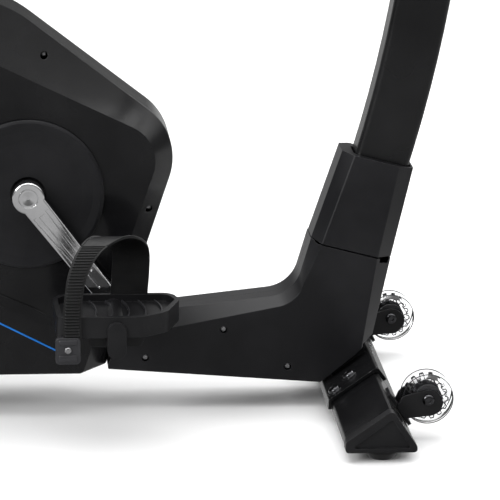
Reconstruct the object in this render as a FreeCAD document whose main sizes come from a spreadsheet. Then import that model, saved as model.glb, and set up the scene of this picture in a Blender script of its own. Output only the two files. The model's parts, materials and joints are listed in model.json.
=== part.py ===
import FreeCAD, Part
import math
import os

import Sketcher

# Recumbent exercise bike, in millimetres, +Z up, +X the way the rider faces, -Y the rider's right.
# X and Z positions are given from the crank axis (X) and the floor (Z); every sub-part's Placement then
# adds crank_x, which puts the origin under the middle of the whole machine.

Vector = FreeCAD.Vector
Rotation = FreeCAD.Rotation
doc = FreeCAD.newDocument("exercise_bike")

DIMENSIONS = {
    # whole machine
    "crank_x": 246.5, "crank_z": 290.0,
    # frame tubes
    "tube_wide": 50.0, "tube_tall": 44.0, "tube_wall": 2.0, "tube_bottom": 68.0,
    "front_tube_end": 415.0, "rear_tube_end": -898.0,
    # crank set
    "crank_length": 170.0, "crank_drop": 52.5, "arm_inner": 84.0, "arm_thick": 14.0,
    "boss_rad": 20.0, "eye_rad": 16.5, "axle_rad": 8.5, "fit_gap": 0.03,
    "shell_rad": 24.0, "bearing_rad": 19.0, "bearing_wide": 12.0, "shell_long": 68.0,
    # belt drive
    "pulley_rad": 115.0, "pulley_wide": 14.0, "pulley_y": 46.0, "small_pulley_rad": 18.0,
    "wheel_x": -205.0, "wheel_z": 320.0, "flywheel_rad": 110.0, "flywheel_wide": 26.0, "shaft_rad": 6.0,
    "belt_thick": 3.0, "plate_y": 24.0, "plate_thick": 4.0,
    "magnet_x": -126.0, "magnet_z": 226.0, "pin_rad": 4.0,
    # housing
    "rim_y": 35.0, "side_y": 72.0, "wall": 2.6, "seam_gap": 0.15,
    "disc_rad": 94.0, "disc_proud": 6.0, "inlet_x": -346.3, "inlet_y": -28.6, "inlet_z": 160.0,
    # front frame cover and mast boot
    "cover_rim_y": 23.0, "cover_side_y": 46.0, "boot_lean": 14.5,
    # mast: an arc in the middle plane
    "mast_arc": 1763.0, "mast_arc_x": -1248.6, "mast_arc_z": 804.0,
    "mast_long": 70.0, "mast_wide": 48.0, "mast_low": -22.6, "mast_high": 11.9,
    # stabilisers
    "beam_half": 250.0, "cap_thick": 15.0, "front_beam_x": 420.0, "rear_beam_x": -905.0,
    "pad_y": 240.0, "pad_tall": 13.0,
    # transport wheels
    "roller_x": 487.4, "roller_z": 54.7, "roller_y": 175.0, "roller_rad": 32.0, "roller_wide": 24.0,
    "core_rad": 25.0, "tooth_deep": 4.0, "cheek_thick": 3.0, "cheek_gap": 1.0, "roller_axle": 4.0,
    # pedals
    "pedal_in": 112.0, "pedal_out": 216.0, "spindle_rad": 6.0,
    # seat
    "rail_pitch": 6.0, "rail_long": 645.0, "rail_wide": 70.0, "rail_tall": 45.0,
    "rail_rear_x": -1040.0, "rail_rear_z": 485.0,
    "seat_x": -660.0, "seat_z": 527.0, "seat_long": 380.0, "seat_wide": 420.0, "seat_thick": 76.0,
    "back_lean": 17.0, "back_wide": 410.0, "back_tall": 460.0, "back_thick": 64.0,
    "bar_rad": 14.0, "bar_wall": 1.8, "grip_rad": 17.0,
    # console
    "console_x": 452.0, "console_z": 1246.0, "console_tilt": -55.0,
    "console_up": 190.0, "console_wide": 280.0, "console_thick": 38.0, "button_rad": 9.0,
}


class Size:
    """A length that carries its value and the spreadsheet formula that gives it."""

    def __init__(self, value, text):
        self.value = value
        self.text = text

    def _join(self, other, sign, value):
        return Size(value, "(%s %s %s)" % (self.text, sign, formula(other)))

    def __add__(self, other):
        return self._join(other, "+", self.value + number(other))

    def __sub__(self, other):
        return self._join(other, "-", self.value - number(other))

    def __mul__(self, other):
        return self._join(other, "*", self.value * number(other))

    def __truediv__(self, other):
        return self._join(other, "/", self.value / number(other))

    def __neg__(self):
        return Size(-self.value, "(0 - %s)" % self.text)

    def __radd__(self, other):
        return Size(other + self.value, "(%s + %s)" % (formula(other), self.text))

    def __rsub__(self, other):
        return Size(other - self.value, "(%s - %s)" % (formula(other), self.text))


def number(size):
    return size.value if isinstance(size, Size) else float(size)


def formula(size):
    return size.text if isinstance(size, Size) else repr(float(size))


def cosd(angle):
    return Size(math.cos(math.radians(number(angle))), "cos(%s * 1deg)" % formula(angle))


def sind(angle):
    return Size(math.sin(math.radians(number(angle))), "sin(%s * 1deg)" % formula(angle))


class Cells:
    """Reads a driving dimension by its alias."""

    def __getattr__(self, alias):
        return Size(DIMENSIONS[alias], "Dims." + alias)


def fill_sheet():
    sheet = doc.addObject("Spreadsheet::Sheet", "Dims")
    for row, (alias, value) in enumerate(DIMENSIONS.items(), 1):
        sheet.set("A%d" % row, alias)
        sheet.set("B%d" % row, str(value))
        sheet.setAlias("B%d" % row, alias)
    doc.recompute()


fill_sheet()
D = Cells()
NODES = []


# ---------------------------------------------------------------- modelling helpers

def bind(target, path, size):
    if isinstance(size, Size):
        target.setExpression(path, size.text)


def place(obj, x=0.0, y=0.0, z=0.0, axis=(0, 1, 0), angle=0.0):
    """Put an object at (x, y, z) from the crank datum, turned by angle about axis."""
    base = Vector(number(x), number(y), number(z))
    obj.Placement = FreeCAD.Placement(base, Rotation(Vector(*axis), number(angle)))
    for path, size in (("x", x), ("y", y), ("z", z)):
        bind(obj, "Placement.Base." + path, size)


def node(obj, label, x=0.0, y=0.0, z=0.0, axis=(0, 1, 0), angle=0.0):
    """Name a finished sub-part and place it in the machine's own frame."""
    place(obj, D.crank_x + x, y, z, axis, angle)
    obj.Label = label
    NODES.append(obj)
    return obj


def new_body(name):
    return doc.addObject("PartDesign::Body", name + "_body")


def sketch(body, plane, offset=0.0):
    drawing = body.newObject("Sketcher::SketchObject", body.Name + "_sketch")
    role = plane + "_Plane"
    origin_plane = [f for f in body.Origin.OriginFeatures if f.Role == role][0]
    drawing.AttachmentSupport = (origin_plane, "")
    drawing.MapMode = "FlatFace"
    drawing.AttachmentOffset = FreeCAD.Placement(Vector(0, 0, number(offset)), Rotation())
    bind(drawing, "AttachmentOffset.Base.z", offset)
    return drawing


def pin_point(drawing, geo, vertex, x, y):
    """Tie a sketch point to two formulas."""
    for kind, size in (("DistanceX", x), ("DistanceY", y)):
        rule = drawing.addConstraint(Sketcher.Constraint(kind, -1, 1, geo, vertex, number(size)))
        bind(drawing, "Constraints[%d]" % rule, size)


def pin_radius(drawing, geo, radius):
    rule = drawing.addConstraint(Sketcher.Constraint("Radius", geo, number(radius)))
    bind(drawing, "Constraints[%d]" % rule, radius)


def circle(drawing, x, y, radius):
    centre = Vector(number(x), number(y), 0)
    geo = drawing.addGeometry(Part.Circle(centre, Vector(0, 0, 1), number(radius)))
    pin_point(drawing, geo, 3, x, y)
    pin_radius(drawing, geo, radius)


def corner_arc(before, here, after, radius):
    """Start, end and centre of the arc that rounds a corner, and whether it turns left."""
    back = (before - here).normalize()
    ahead = (after - here).normalize()
    half = math.acos(max(-1.0, min(1.0, back.dot(ahead)))) / 2.0
    reach = radius / math.tan(half)
    middle = (back + ahead).normalize() * (radius / math.sin(half))
    left = back.cross(ahead).z < 0
    return here + back * reach, here + ahead * reach, here + middle, left


def profile(drawing, corners):
    """Closed outline through corners (x, y, radius), each tied to its formulas."""
    points = [Vector(number(x), number(y), 0) for x, y, _ in corners]
    count = len(points)
    arcs = []
    for i, (_, _, radius) in enumerate(corners):
        if number(radius) > 0:
            arcs.append(corner_arc(points[i - 1], points[i], points[(i + 1) % count], number(radius)))
        else:
            arcs.append((points[i], points[i], None, None))
    lines = []
    for i in range(count):
        segment = Part.LineSegment(arcs[i][1], arcs[(i + 1) % count][0])
        lines.append(drawing.addGeometry(segment))
    for i, (x, y, radius) in enumerate(corners):
        into, out = lines[i - 1], lines[i]
        if number(radius) <= 0:
            drawing.addConstraint(Sketcher.Constraint("Coincident", into, 2, out, 1))
            pin_point(drawing, out, 1, x, y)
            continue
        start, end, centre, left = arcs[i]
        disc = Part.Circle(centre, Vector(0, 0, 1), number(radius))
        first, last = (start, end) if left else (end, start)
        angles = [math.atan2((p - centre).y, (p - centre).x) for p in (first, last)]
        arc = drawing.addGeometry(Part.ArcOfCircle(disc, angles[0], angles[1]))
        near, far = (1, 2) if left else (2, 1)
        drawing.addConstraint(Sketcher.Constraint("Tangent", into, 2, arc, near))
        drawing.addConstraint(Sketcher.Constraint("Tangent", arc, far, out, 1))
        pin_radius(drawing, arc, radius)
        corner = drawing.addGeometry(Part.Point(points[i]), True)
        pin_point(drawing, corner, 1, x, y)
        drawing.addConstraint(Sketcher.Constraint("PointOnObject", corner, 1, into))
        drawing.addConstraint(Sketcher.Constraint("PointOnObject", corner, 1, out))


def rectangle(x, y, wide, tall, radius=0.0):
    """Corners of a rectangle centred on (x, y)."""
    return [(x - wide / 2, y - tall / 2, radius), (x + wide / 2, y - tall / 2, radius),
            (x + wide / 2, y + tall / 2, radius), (x - wide / 2, y + tall / 2, radius)]


def pad(body, drawing, length, reverse=False, middle=False, cut=False):
    kind = "PartDesign::Pocket" if cut else "PartDesign::Pad"
    feature = body.newObject(kind, body.Name + ("_cut" if cut else "_pad"))
    feature.Profile = drawing
    feature.Length = number(length)
    bind(feature, "Length", length)
    feature.Reversed = reverse
    feature.Midplane = middle
    drawing.Visibility = False
    return feature


def cut(body, drawing, length, reverse=True, middle=False):
    """Pocket that runs the way the sketch faces, or both ways when middle is set."""
    return pad(body, drawing, length, reverse, middle, True)


def turn(body, drawing, axis="V_Axis", angle=360.0, groove=False):
    kind = "PartDesign::Groove" if groove else "PartDesign::Revolution"
    feature = body.newObject(kind, body.Name + "_turn")
    feature.Profile = drawing
    feature.ReferenceAxis = (drawing, [axis])
    feature.Angle = number(angle)
    bind(feature, "Angle", angle)
    return feature


def loft(body, first, last, inside=False):
    kind = "PartDesign::SubtractiveLoft" if inside else "PartDesign::AdditiveLoft"
    feature = body.newObject(kind, body.Name + "_loft")
    feature.Profile = first
    feature.Sections = [last]
    feature.Ruled = True
    return feature


def pipe(body, section, path, inside=False):
    kind = "PartDesign::SubtractivePipe" if inside else "PartDesign::AdditivePipe"
    feature = body.newObject(kind, body.Name + "_pipe")
    feature.Profile = section
    feature.Spine = (path, [])
    return feature


def open_path(drawing, corners):
    """Open run of lines with rounded corners (x, y, radius), for a bent tube."""
    points = [Vector(number(x), number(y), 0) for x, y, _ in corners]
    last = len(points) - 1
    arcs = {i: corner_arc(points[i - 1], points[i], points[i + 1], number(corners[i][2]))
            for i in range(1, last)}
    lines = []
    for i in range(last):
        start = arcs[i][1] if i in arcs else points[i]
        end = arcs[i + 1][0] if i + 1 in arcs else points[i + 1]
        lines.append(drawing.addGeometry(Part.LineSegment(start, end)))
    pin_point(drawing, lines[0], 1, corners[0][0], corners[0][1])
    pin_point(drawing, lines[-1], 2, corners[last][0], corners[last][1])
    for i, (start, end, centre, left) in arcs.items():
        x, y, radius = corners[i]
        disc = Part.Circle(centre, Vector(0, 0, 1), number(radius))
        first, final = (start, end) if left else (end, start)
        angles = [math.atan2((p - centre).y, (p - centre).x) for p in (first, final)]
        arc = drawing.addGeometry(Part.ArcOfCircle(disc, angles[0], angles[1]))
        near, far = (1, 2) if left else (2, 1)
        drawing.addConstraint(Sketcher.Constraint("Tangent", lines[i - 1], 2, arc, near))
        drawing.addConstraint(Sketcher.Constraint("Tangent", arc, far, lines[i], 1))
        pin_radius(drawing, arc, radius)
        corner = drawing.addGeometry(Part.Point(points[i]), True)
        pin_point(drawing, corner, 1, x, y)
        drawing.addConstraint(Sketcher.Constraint("PointOnObject", corner, 1, lines[i - 1]))
        drawing.addConstraint(Sketcher.Constraint("PointOnObject", corner, 1, lines[i]))


def soften(body, radius, wanted):
    """Fillet the edges of the body's tip that wanted(edge) picks."""
    doc.recompute()
    base = body.Tip
    names = ["Edge%d" % (i + 1) for i, edge in enumerate(base.Shape.Edges) if wanted(edge)]
    feature = body.newObject("PartDesign::Fillet", body.Name + "_fillet")
    feature.Base = (base, names)
    feature.Radius = number(radius)
    bind(feature, "Radius", radius)
    return feature


def flat_at(axis, level, slack=0.05):
    """Edge test: the whole edge lies in the plane where axis equals level."""
    def wanted(edge):
        box = edge.BoundBox
        low, high = getattr(box, axis + "Min"), getattr(box, axis + "Max")
        return abs(low - number(level)) < slack and abs(high - number(level)) < slack
    return wanted


def cylinder(radius, length, x=0.0, y=0.0, z=0.0, axis=(0, 0, 1), angle=0.0):
    part = doc.addObject("Part::Cylinder", "rod")
    part.Radius, part.Height = number(radius), number(length)
    bind(part, "Radius", radius)
    bind(part, "Height", length)
    place(part, x, y, z, axis, angle)
    return part


def along_y(radius, length, x, y, z):
    """Cylinder whose axis runs towards +Y from (x, y, z)."""
    return cylinder(radius, length, x, y, z, (1, 0, 0), -90.0)


def block(long, wide, tall, x=0.0, y=0.0, z=0.0, axis=(0, 1, 0), angle=0.0):
    part = doc.addObject("Part::Box", "block")
    for path, size in (("Length", long), ("Width", wide), ("Height", tall)):
        setattr(part, path, number(size))
        bind(part, path, size)
    place(part, x, y, z, axis, angle)
    return part


def join(name, parts):
    group = doc.addObject("Part::MultiFuse", name + "_fuse")
    group.Shapes = parts
    return group


def mirrored(part):
    """The same piece on the other side of the middle plane."""
    twin = doc.addObject("Part::Mirroring", part.Name + "_twin")
    twin.Source = part
    twin.Normal = Vector(0, 1, 0)
    return twin


def together(name, parts):
    group = doc.addObject("Part::Compound", name + "_group")
    group.Links = parts
    return group


def both_sides(label, part):
    """One node that holds a piece and its mirror image as two separate solids."""
    return node(together(label, [part, mirrored(part)]), label)


SIDES = (("right", 1.0), ("left", -1.0))   # sketches on the XZ plane face -Y, the rider's right


# ---------------------------------------------------------------- frame

def box_tube(name, long, wide, tall, wall, radius):
    """Rectangular tube along +X from the body's origin, centred on its axis."""
    body = new_body(name)
    drawing = sketch(body, "YZ")
    profile(drawing, rectangle(Size(0, "0"), Size(0, "0"), wide, tall, radius))
    profile(drawing, rectangle(Size(0, "0"), Size(0, "0"), wide - wall * 2, tall - wall * 2, radius - 1.5))
    pad(body, drawing, long)
    return body


def make_frame_tube():
    middle = D.tube_bottom + D.tube_tall / 2
    tube = box_tube("frame_tube", D.front_tube_end - D.rear_tube_end, D.tube_wide, D.tube_tall,
                    D.tube_wall, 4.0)
    node(tube, "frame_tube", D.rear_tube_end, 0, middle)


def make_drive_mount():
    """Base plate, crank post, bearing shell and the two plates that carry the flywheel."""
    body = new_body("drive_mount")
    top = D.tube_bottom + D.tube_tall
    base = sketch(body, "XY", top)
    profile(base, [(-255, -30, 4), (40, -30, 4), (40, 30, 4), (-255, 30, 4)])
    pad(body, base, 6.0)
    post = sketch(body, "XY", top + 5)
    profile(post, rectangle(Size(0, "0"), Size(0, "0"), Size(44, "44"), Size(38, "38"), 3.0))
    pad(body, post, D.crank_z - top - 5)
    for sign in (1.0, -1.0):
        plate = sketch(body, "XZ", D.plate_y * sign)
        profile(plate, [(-250, top + 4, 3), (-112, top + 4, 3), (-112, 244, 12), (-158, 256, 20),
                        (D.wheel_x + 20, D.wheel_z + 26, 18), (D.wheel_x - 20, D.wheel_z + 26, 18),
                        (-246, 232, 20)])
        pad(body, plate, D.plate_thick, reverse=sign < 0)
    shell = sketch(body, "XZ")
    circle(shell, 0, D.crank_z, D.shell_rad)
    pad(body, shell, D.shell_long, middle=True)
    bore = sketch(body, "XZ")
    circle(bore, 0, D.crank_z, D.bearing_rad)
    cut(body, bore, D.shell_long + 2, middle=True)
    holes = sketch(body, "XZ")
    circle(holes, D.wheel_x, D.wheel_z, D.shaft_rad + D.fit_gap)
    cut(body, holes, 80.0, middle=True)
    pin = sketch(body, "XZ")
    circle(pin, D.magnet_x, D.magnet_z, D.pin_rad)
    pad(body, pin, D.plate_y * 2 + 4, middle=True)
    lug = sketch(body, "XZ", -(D.plate_y - 4))
    profile(lug, [(-76, top + 5, 0), (-44, top + 5, 0), (-48, 164, 10), (-72, 164, 10)])
    pad(body, lug, 5.0, reverse=True)
    node(body, "drive_mount")


def make_seat_struts():
    """Two posts on the frame tube, their tops cut to the slope of the seat rail."""
    posts = []
    foot = D.tube_bottom + D.tube_tall
    deep = 64.0
    slant = math.tan(math.radians(number(D.rail_pitch))) * deep / 2
    for name, x in (("front", -470.0), ("rear", -845.0)):
        under_rail = D.rail_rear_z - (x - D.rail_rear_x) * slant / (deep / 2) - D.rail_tall / 2 - 0.4
        long = under_rail - foot
        post = box_tube(name + "_strut", long + slant, D.tube_wide, Size(deep, "64"), D.tube_wall, 5.0)
        slope = sketch(post, "XZ")
        profile(slope, [(long - slant, -deep / 2, 0), (long + slant, deep / 2, 0),
                        (long + 30, deep / 2 + 5, 0),
                        (long + 30, -deep / 2 - 5, 0), (long - slant * 1.2, -deep / 2 - 5, 0)])
        cut(post, slope, 80.0, middle=True)
        place(post, x, 0, foot, (0, 1, 0), -90.0)
        posts.append(post)
    node(together("seat_struts", posts), "seat_struts")


def make_seat_rail():
    rail = box_tube("seat_rail", D.rail_long, D.rail_wide, D.rail_tall, Size(3, "3"), 5.0)
    node(rail, "seat_rail", D.rail_rear_x, 0, D.rail_rear_z, (0, 1, 0), D.rail_pitch)


# ---------------------------------------------------------------- stabilisers

BEAM = ((-42.0, 14.0, 3.0), (43.5, 14.0, 3.0), (43.5, 20.0, 7.0), (13.0, 65.0, 5.0), (-42.0, 26.0, 6.0))


def beam_outline(grow=0.0, flip=1.0):
    """Ridged beam section about its own X; grow moves the walls outwards."""
    out = ((-1, -1), (1, -1), (1, 0.3), (0, 1.25), (-1, 0.45))
    corners = [(flip * (x + grow * dx), z + grow * dz, max(1.0, r + grow))
               for (x, z, r), (dx, dz) in zip(BEAM, out)]
    return corners if flip > 0 else corners[::-1]


def make_beam(label, x, flip):
    body = new_body(label)
    drawing = sketch(body, "XZ")
    profile(drawing, beam_outline(0.0, flip))
    profile(drawing, beam_outline(-2.2, flip))
    pad(body, drawing, D.beam_half * 2, middle=True)
    node(body, label, x)

    cap = new_body(label + "_cap")
    outer = sketch(cap, "XZ", D.beam_half)
    profile(outer, beam_outline(1.0, flip))
    pad(cap, outer, D.cap_thick)
    plug = sketch(cap, "XZ", D.beam_half)
    profile(plug, beam_outline(-2.6, flip))
    pad(cap, plug, 18.0, reverse=True)
    face = sketch(cap, "XZ", D.beam_half + D.cap_thick - 3)
    triangle = [(flip * px, pz, r) for px, pz, r in ((-35.5, 18.2, 2), (37.0, 18.2, 2), (13.5, 54.8, 3))]
    profile(face, triangle if flip > 0 else triangle[::-1])
    cut(cap, face, 5.0)
    place(cap, x)
    return [cap, mirrored(cap)]


def make_saddles():
    """Bent plates that sit over each beam's ridge and carry the frame tube."""
    saddles = []
    for name, x, flip in (("front", D.front_beam_x, 1.0), ("rear", D.rear_beam_x, -1.0)):
        body = new_body(name + "_saddle")
        bent = sketch(body, "XZ")
        corners = [(-42.3, 26.8, 0), (13.0, 66.2, 3.0), (22.0, 52.9, 0), (26.4, 55.7, 0),
                   (14.4, 72.0, 5.0), (-46.3, 29.1, 3.0), (-46.3, 17.0, 0), (-42.3, 17.0, 0)]
        corners = [(flip * px, pz, r) for px, pz, r in corners]
        profile(bent, corners if flip > 0 else corners[::-1])
        pad(body, bent, 216.0, middle=True)
        for side in (1.0, -1.0):
            web = sketch(body, "XZ", D.tube_wide / 2 * side)
            web_outline = [(-34.0, 34.0, 0), (8.0, 64.0, 0), (8.0, 92.0, 6), (-34.0, 92.0, 6)]
            web_outline = [(flip * px, pz, r) for px, pz, r in web_outline]
            profile(web, web_outline if flip > 0 else web_outline[::-1])
            pad(body, web, 4.0, reverse=side < 0)
        place(body, x)
        saddles.append(body)
    node(together("beam_saddles", saddles), "beam_saddles")


def make_floor_pads():
    """Tapered rubber feet under both beams."""
    feet = []
    for x in (D.front_beam_x + 4, D.rear_beam_x - 4):
        foot = new_body("floor_pad")
        drawing = sketch(foot, "XZ")
        profile(drawing, [(0, 0, 0), (15, 0, 2), (21.5, D.pad_tall - 4, 2), (21.5, D.pad_tall, 0),
                          (0, D.pad_tall, 0)])
        turn(foot, drawing)
        place(foot, x, -D.pad_y, 0)
        feet += [foot, mirrored(foot)]
    node(together("floor_pads", feet), "floor_pads")


def make_frame_bolts():
    """Carriage bolts through the saddles and the socket bolts of the transport wheels."""
    bolts = []
    slope = 35.3
    spots = [(along, side * y, height) for along, y, height in ((-17.0, 76.0, 50.0), (-37.0, 93.0, 35.9))
             for side in (1.0, -1.0)]
    for x, flip in ((D.front_beam_x, 1.0), (D.rear_beam_x, -1.0)):
        for along, y, height in spots:
            head = new_body("saddle_bolt")
            drawing = sketch(head, "XZ")
            profile(drawing, [(0, 0, 0), (8.5, 0, 0), (8.5, 1.6, 1.2), (3.5, 5.2, 1.5), (0, 5.4, 0)])
            turn(head, drawing)
            place(head, x + along * flip, y, height, (0, 1, 0), -slope * flip)
            bolts.append(head)
    for _, sign in SIDES:
        y = -D.roller_y * sign - D.roller_wide / 2 - D.cheek_gap - D.cheek_thick
        long = D.roller_wide + D.cheek_gap * 2 + D.cheek_thick * 2
        bolts.append(along_y(D.roller_axle, long, D.roller_x, y, D.roller_z))
        for level, thick in ((y - 4.2, 4.0), (y + long + 0.2, 4.0)):
            head = along_y(7.5, thick, D.roller_x, level, D.roller_z)
            bolts.append(head)
    node(together("frame_bolts", bolts), "frame_bolts")


def make_wheel_brackets():
    """Two cheeks on a foot plate, one bracket for each transport wheel."""
    body = new_body("wheel_bracket")
    half = D.roller_wide / 2 + D.cheek_gap
    for side in (1.0, -1.0):
        cheek = sketch(body, "XZ", half * side)
        profile(cheek, [(449.0, 45.5, 0), (458.3, 31.0, 0), (D.roller_x + 18.5, 36.2, 18.4),
                        (D.roller_x + 18.5, 73.2, 18.4), (455.0, 59.0, 8)])
        pad(body, cheek, D.cheek_thick, reverse=side < 0)
    foot = sketch(body, "XZ")
    profile(foot, [(452.0, 38.2, 0), (463.6, 21.0, 0), (467.2, 23.4, 0), (440.6, 62.8, 0), (437.0, 60.4, 0)])
    pad(body, foot, half * 2 + 1, middle=True)
    hole = sketch(body, "XZ")
    circle(hole, D.roller_x, D.roller_z, D.roller_axle + D.fit_gap)
    cut(body, hole, 60.0, middle=True)
    place(body, 0, -D.roller_y, 0)
    both_sides("wheel_brackets", body)


def make_rollers():
    """Clear tyre and toothed core of each transport wheel, turned about Y."""
    for name, sign in SIDES:
        y = -D.roller_y * sign
        tyre = new_body("wheel_tyre_" + name)
        ring = sketch(tyre, "XY")
        half = D.roller_wide / 2
        profile(ring, [(D.core_rad + 0.05, -half + 1, 0), (D.core_rad + 0.05, half - 1, 0),
                       (D.roller_rad, half - 1, 6), (D.roller_rad, -half + 1, 6)])
        turn(tyre, ring)
        node(tyre, "wheel_tyre_" + name, D.roller_x, y, D.roller_z)

        core = new_body("wheel_core_" + name)
        hub = sketch(core, "XY")
        profile(hub, [(D.roller_axle + D.fit_gap, -half, 0), (D.core_rad - D.tooth_deep, -half, 1.5),
                      (D.core_rad - D.tooth_deep, half, 1.5), (D.roller_axle + D.fit_gap, half, 0)])
        turn(core, hub)
        tooth = sketch(core, "XZ")
        low, high = D.core_rad - D.tooth_deep - 0.8, D.core_rad - 0.15
        profile(tooth, [(low, -3.0, 0), (high, -2.4, 0.6), (high, 2.4, 0.6), (low, 3.0, 0)])
        tooth_pad = pad(core, tooth, D.roller_wide - 6, middle=True)
        around = core.newObject("PartDesign::PolarPattern", core.Name + "_teeth")
        around.Originals = [tooth_pad]
        around.Axis = (hub, ["V_Axis"])
        around.Angle = 360.0
        around.Occurrences = 14
        core.Tip = around
        node(core, "wheel_core_" + name, D.roller_x, y, D.roller_z)


# ---------------------------------------------------------------- housing and covers

def rim_outline(inset=0.0):
    """Housing outline at its flat rim: bottom front, top front, peak, top rear, bottom rear."""
    return [(97 - inset, 57 + inset, 6), (194 - inset * 1.2, 354 - inset * 0.2, 78 - inset),
            (-50, 541 - inset * 1.3, 165 - inset), (-318 + inset, 503 - inset, 60 - inset),
            (-350 + inset, 57 + inset, 12)]


def side_outline(inset=0.0):
    """Housing outline where the bevel meets the flat side."""
    return [(67 - inset, 57 + inset, 6), (168 - inset * 1.2, 354 - inset * 0.2, 48 - inset),
            (-70, 468 - inset * 1.2, 150 - inset), (-290 + inset, 450 - inset, 50 - inset),
            (-322 + inset, 57 + inset, 12)]


def make_housing():
    for name, sign in SIDES:
        body = new_body("housing_" + name)
        back = sign < 0
        seam = D.seam_gap * sign
        rim = sketch(body, "XZ", seam)
        profile(rim, rim_outline())
        pad(body, rim, D.rim_y - D.seam_gap, reverse=back)
        start = sketch(body, "XZ", D.rim_y * sign)
        profile(start, rim_outline())
        end = sketch(body, "XZ", D.side_y * sign)
        profile(end, side_outline())
        loft(body, start, end)
        hollow = sketch(body, "XZ", seam)
        profile(hollow, rim_outline(number(D.wall)))
        cut(body, hollow, D.rim_y - D.seam_gap, reverse=not back)
        inner_start = sketch(body, "XZ", D.rim_y * sign)
        profile(inner_start, rim_outline(number(D.wall)))
        inner_end = sketch(body, "XZ", (D.side_y - D.wall) * sign)
        profile(inner_end, side_outline(number(D.wall)))
        loft(body, inner_start, inner_end, inside=True)
        openings = sketch(body, "YZ", -400)
        low, high = D.tube_bottom - 1.5, D.tube_bottom + D.tube_tall + 1.5
        wide = (D.tube_wide / 2 + 1.5) * -sign
        near_seam = 5.0 * sign
        corners = [(near_seam, low, 0), (near_seam, high, 0), (wide, high, 0), (wide, low, 0)]
        profile(openings, corners if sign > 0 else corners[::-1])
        cut(body, openings, 600.0)
        crank_hole = sketch(body, "XZ", D.rim_y * sign)
        circle(crank_hole, 0, D.crank_z, 16.0)
        cut(body, crank_hole, 60.0, reverse=not back)
        screw_holes = sketch(body, "XZ", 38.0 * sign)
        circle(screw_holes, 21, 459, 4.6)
        circle(screw_holes, 150, 265, 4.6)
        cut(body, screw_holes, 60.0, reverse=not back)
        if sign > 0:
            inlet_hole = sketch(body, "YZ", -360)
            circle(inlet_hole, D.inlet_y, D.inlet_z, 5.2)
            cut(body, inlet_hole, 30.0)
        node(body, "housing_" + name)


def make_crank_discs():
    """Round dished covers on the housing sides, a hole in the middle for the crank boss."""
    disc = new_body("crank_disc")
    section = sketch(disc, "XY")
    inner = D.side_y + 0.2
    profile(section, [(22, -inner, 0), (22, -(inner + 3), 0), (66, -(inner + 3), 2), (80, -(inner + 4), 2),
                      (90, -(D.side_y + D.disc_proud), 1.5), (D.disc_rad, -(D.side_y + D.disc_proud - 2), 2),
                      (D.disc_rad, -inner, 0)])
    turn(disc, section)
    place(disc, 0, 0, D.crank_z)
    both_sides("crank_discs", disc)


def make_accent_stripes():
    """Thin coloured line along each lower side."""
    stripe = new_body("accent_stripe")
    line = sketch(stripe, "XZ", D.side_y + 0.1)
    profile(line, [(-300.0, 265.0, 0), (-298.6, 262.6, 0), (38.0, 82.6, 0), (38.0, 86.0, 0)])
    pad(stripe, line, 0.8)
    both_sides("accent_stripes", stripe)


def cover_outline(inset=0.0, side=False):
    """Front frame cover seen from the side, at its rim or, with side set, at its flat flank."""
    if side:
        return [(99, 54.4 + inset, 2), (112, 94.8 - inset, 2), (336 + inset * 0.2, 137.5 - inset, 40 + inset),
                (368 + inset, 213 - inset * 0.2, 0), (439 - inset, 194.6, 0), (421.5 - inset, 77, 4),
                (414 - inset, 69 + inset, 6), (370, 33 + inset, 3)]
    return [(99, 54.4 + inset, 2), (121.6, 120.2 - inset, 2), (336 + inset * 0.2, 144 - inset, 45 + inset),
            (357 + inset, 217 - inset * 0.2, 0), (459 - inset, 190.2, 0), (436 - inset, 78, 4),
            (420 - inset, 71 + inset, 6), (370, 33 + inset, 3)]


def make_frame_covers():
    for name, sign in SIDES:
        body = new_body("frame_cover_" + name)
        back = sign < 0
        seam = D.seam_gap * sign
        rim = sketch(body, "XZ", seam)
        profile(rim, cover_outline())
        pad(body, rim, D.cover_rim_y - D.seam_gap, reverse=back)
        start = sketch(body, "XZ", D.cover_rim_y * sign)
        profile(start, cover_outline())
        end = sketch(body, "XZ", D.cover_side_y * sign)
        profile(end, cover_outline(0.0, True))
        loft(body, start, end)
        thin = 2.4
        hollow = sketch(body, "XZ", seam)
        profile(hollow, cover_outline(thin))
        cut(body, hollow, D.cover_rim_y - D.seam_gap, reverse=not back)
        inner_start = sketch(body, "XZ", D.cover_rim_y * sign)
        profile(inner_start, cover_outline(thin))
        inner_end = sketch(body, "XZ", (D.cover_side_y - thin) * sign)
        profile(inner_end, cover_outline(thin, True))
        loft(body, inner_start, inner_end, inside=True)
        ends = sketch(body, "XZ", seam)
        profile(ends, [(90, 62, 0), (130, 62, 0), (130, 113.5, 0), (90, 113.5, 0)])
        cut(body, ends, 27.0, reverse=not back)
        top = sketch(body, "XZ", seam)
        profile(top, [(361, 214, 0), (365, 230, 0), (462, 205, 0), (454, 184, 0)])
        cut(body, top, 41.0, reverse=not back)
        foot = sketch(body, "XZ", seam)
        profile(foot, [(352, 20, 0), (450, 20, 0), (450, 95, 0), (380, 62, 0)])
        cut(body, foot, 43.5, reverse=not back)
        screw_holes = sketch(body, "XZ", 30.0 * sign)
        for x, z in ((246, 104), (147, 68), (328, 54)):
            circle(screw_holes, x, z, 4.6)
        cut(body, screw_holes, 30.0, reverse=not back)
        node(body, "frame_cover_" + name)


def boot_section(drawing, rear, rear_flank, front_flank, front, narrow, wide):
    """Eight-sided section of the mast boot, X along the machine, Y across it."""
    profile(drawing, [(-rear, -narrow, 3), (-rear_flank, -wide, 4), (front_flank, -wide, 4),
                      (front, -narrow, 3),
                      (front, narrow, 3), (front_flank, wide, 4), (-rear_flank, wide, 4), (-rear, narrow, 3)])


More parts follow.
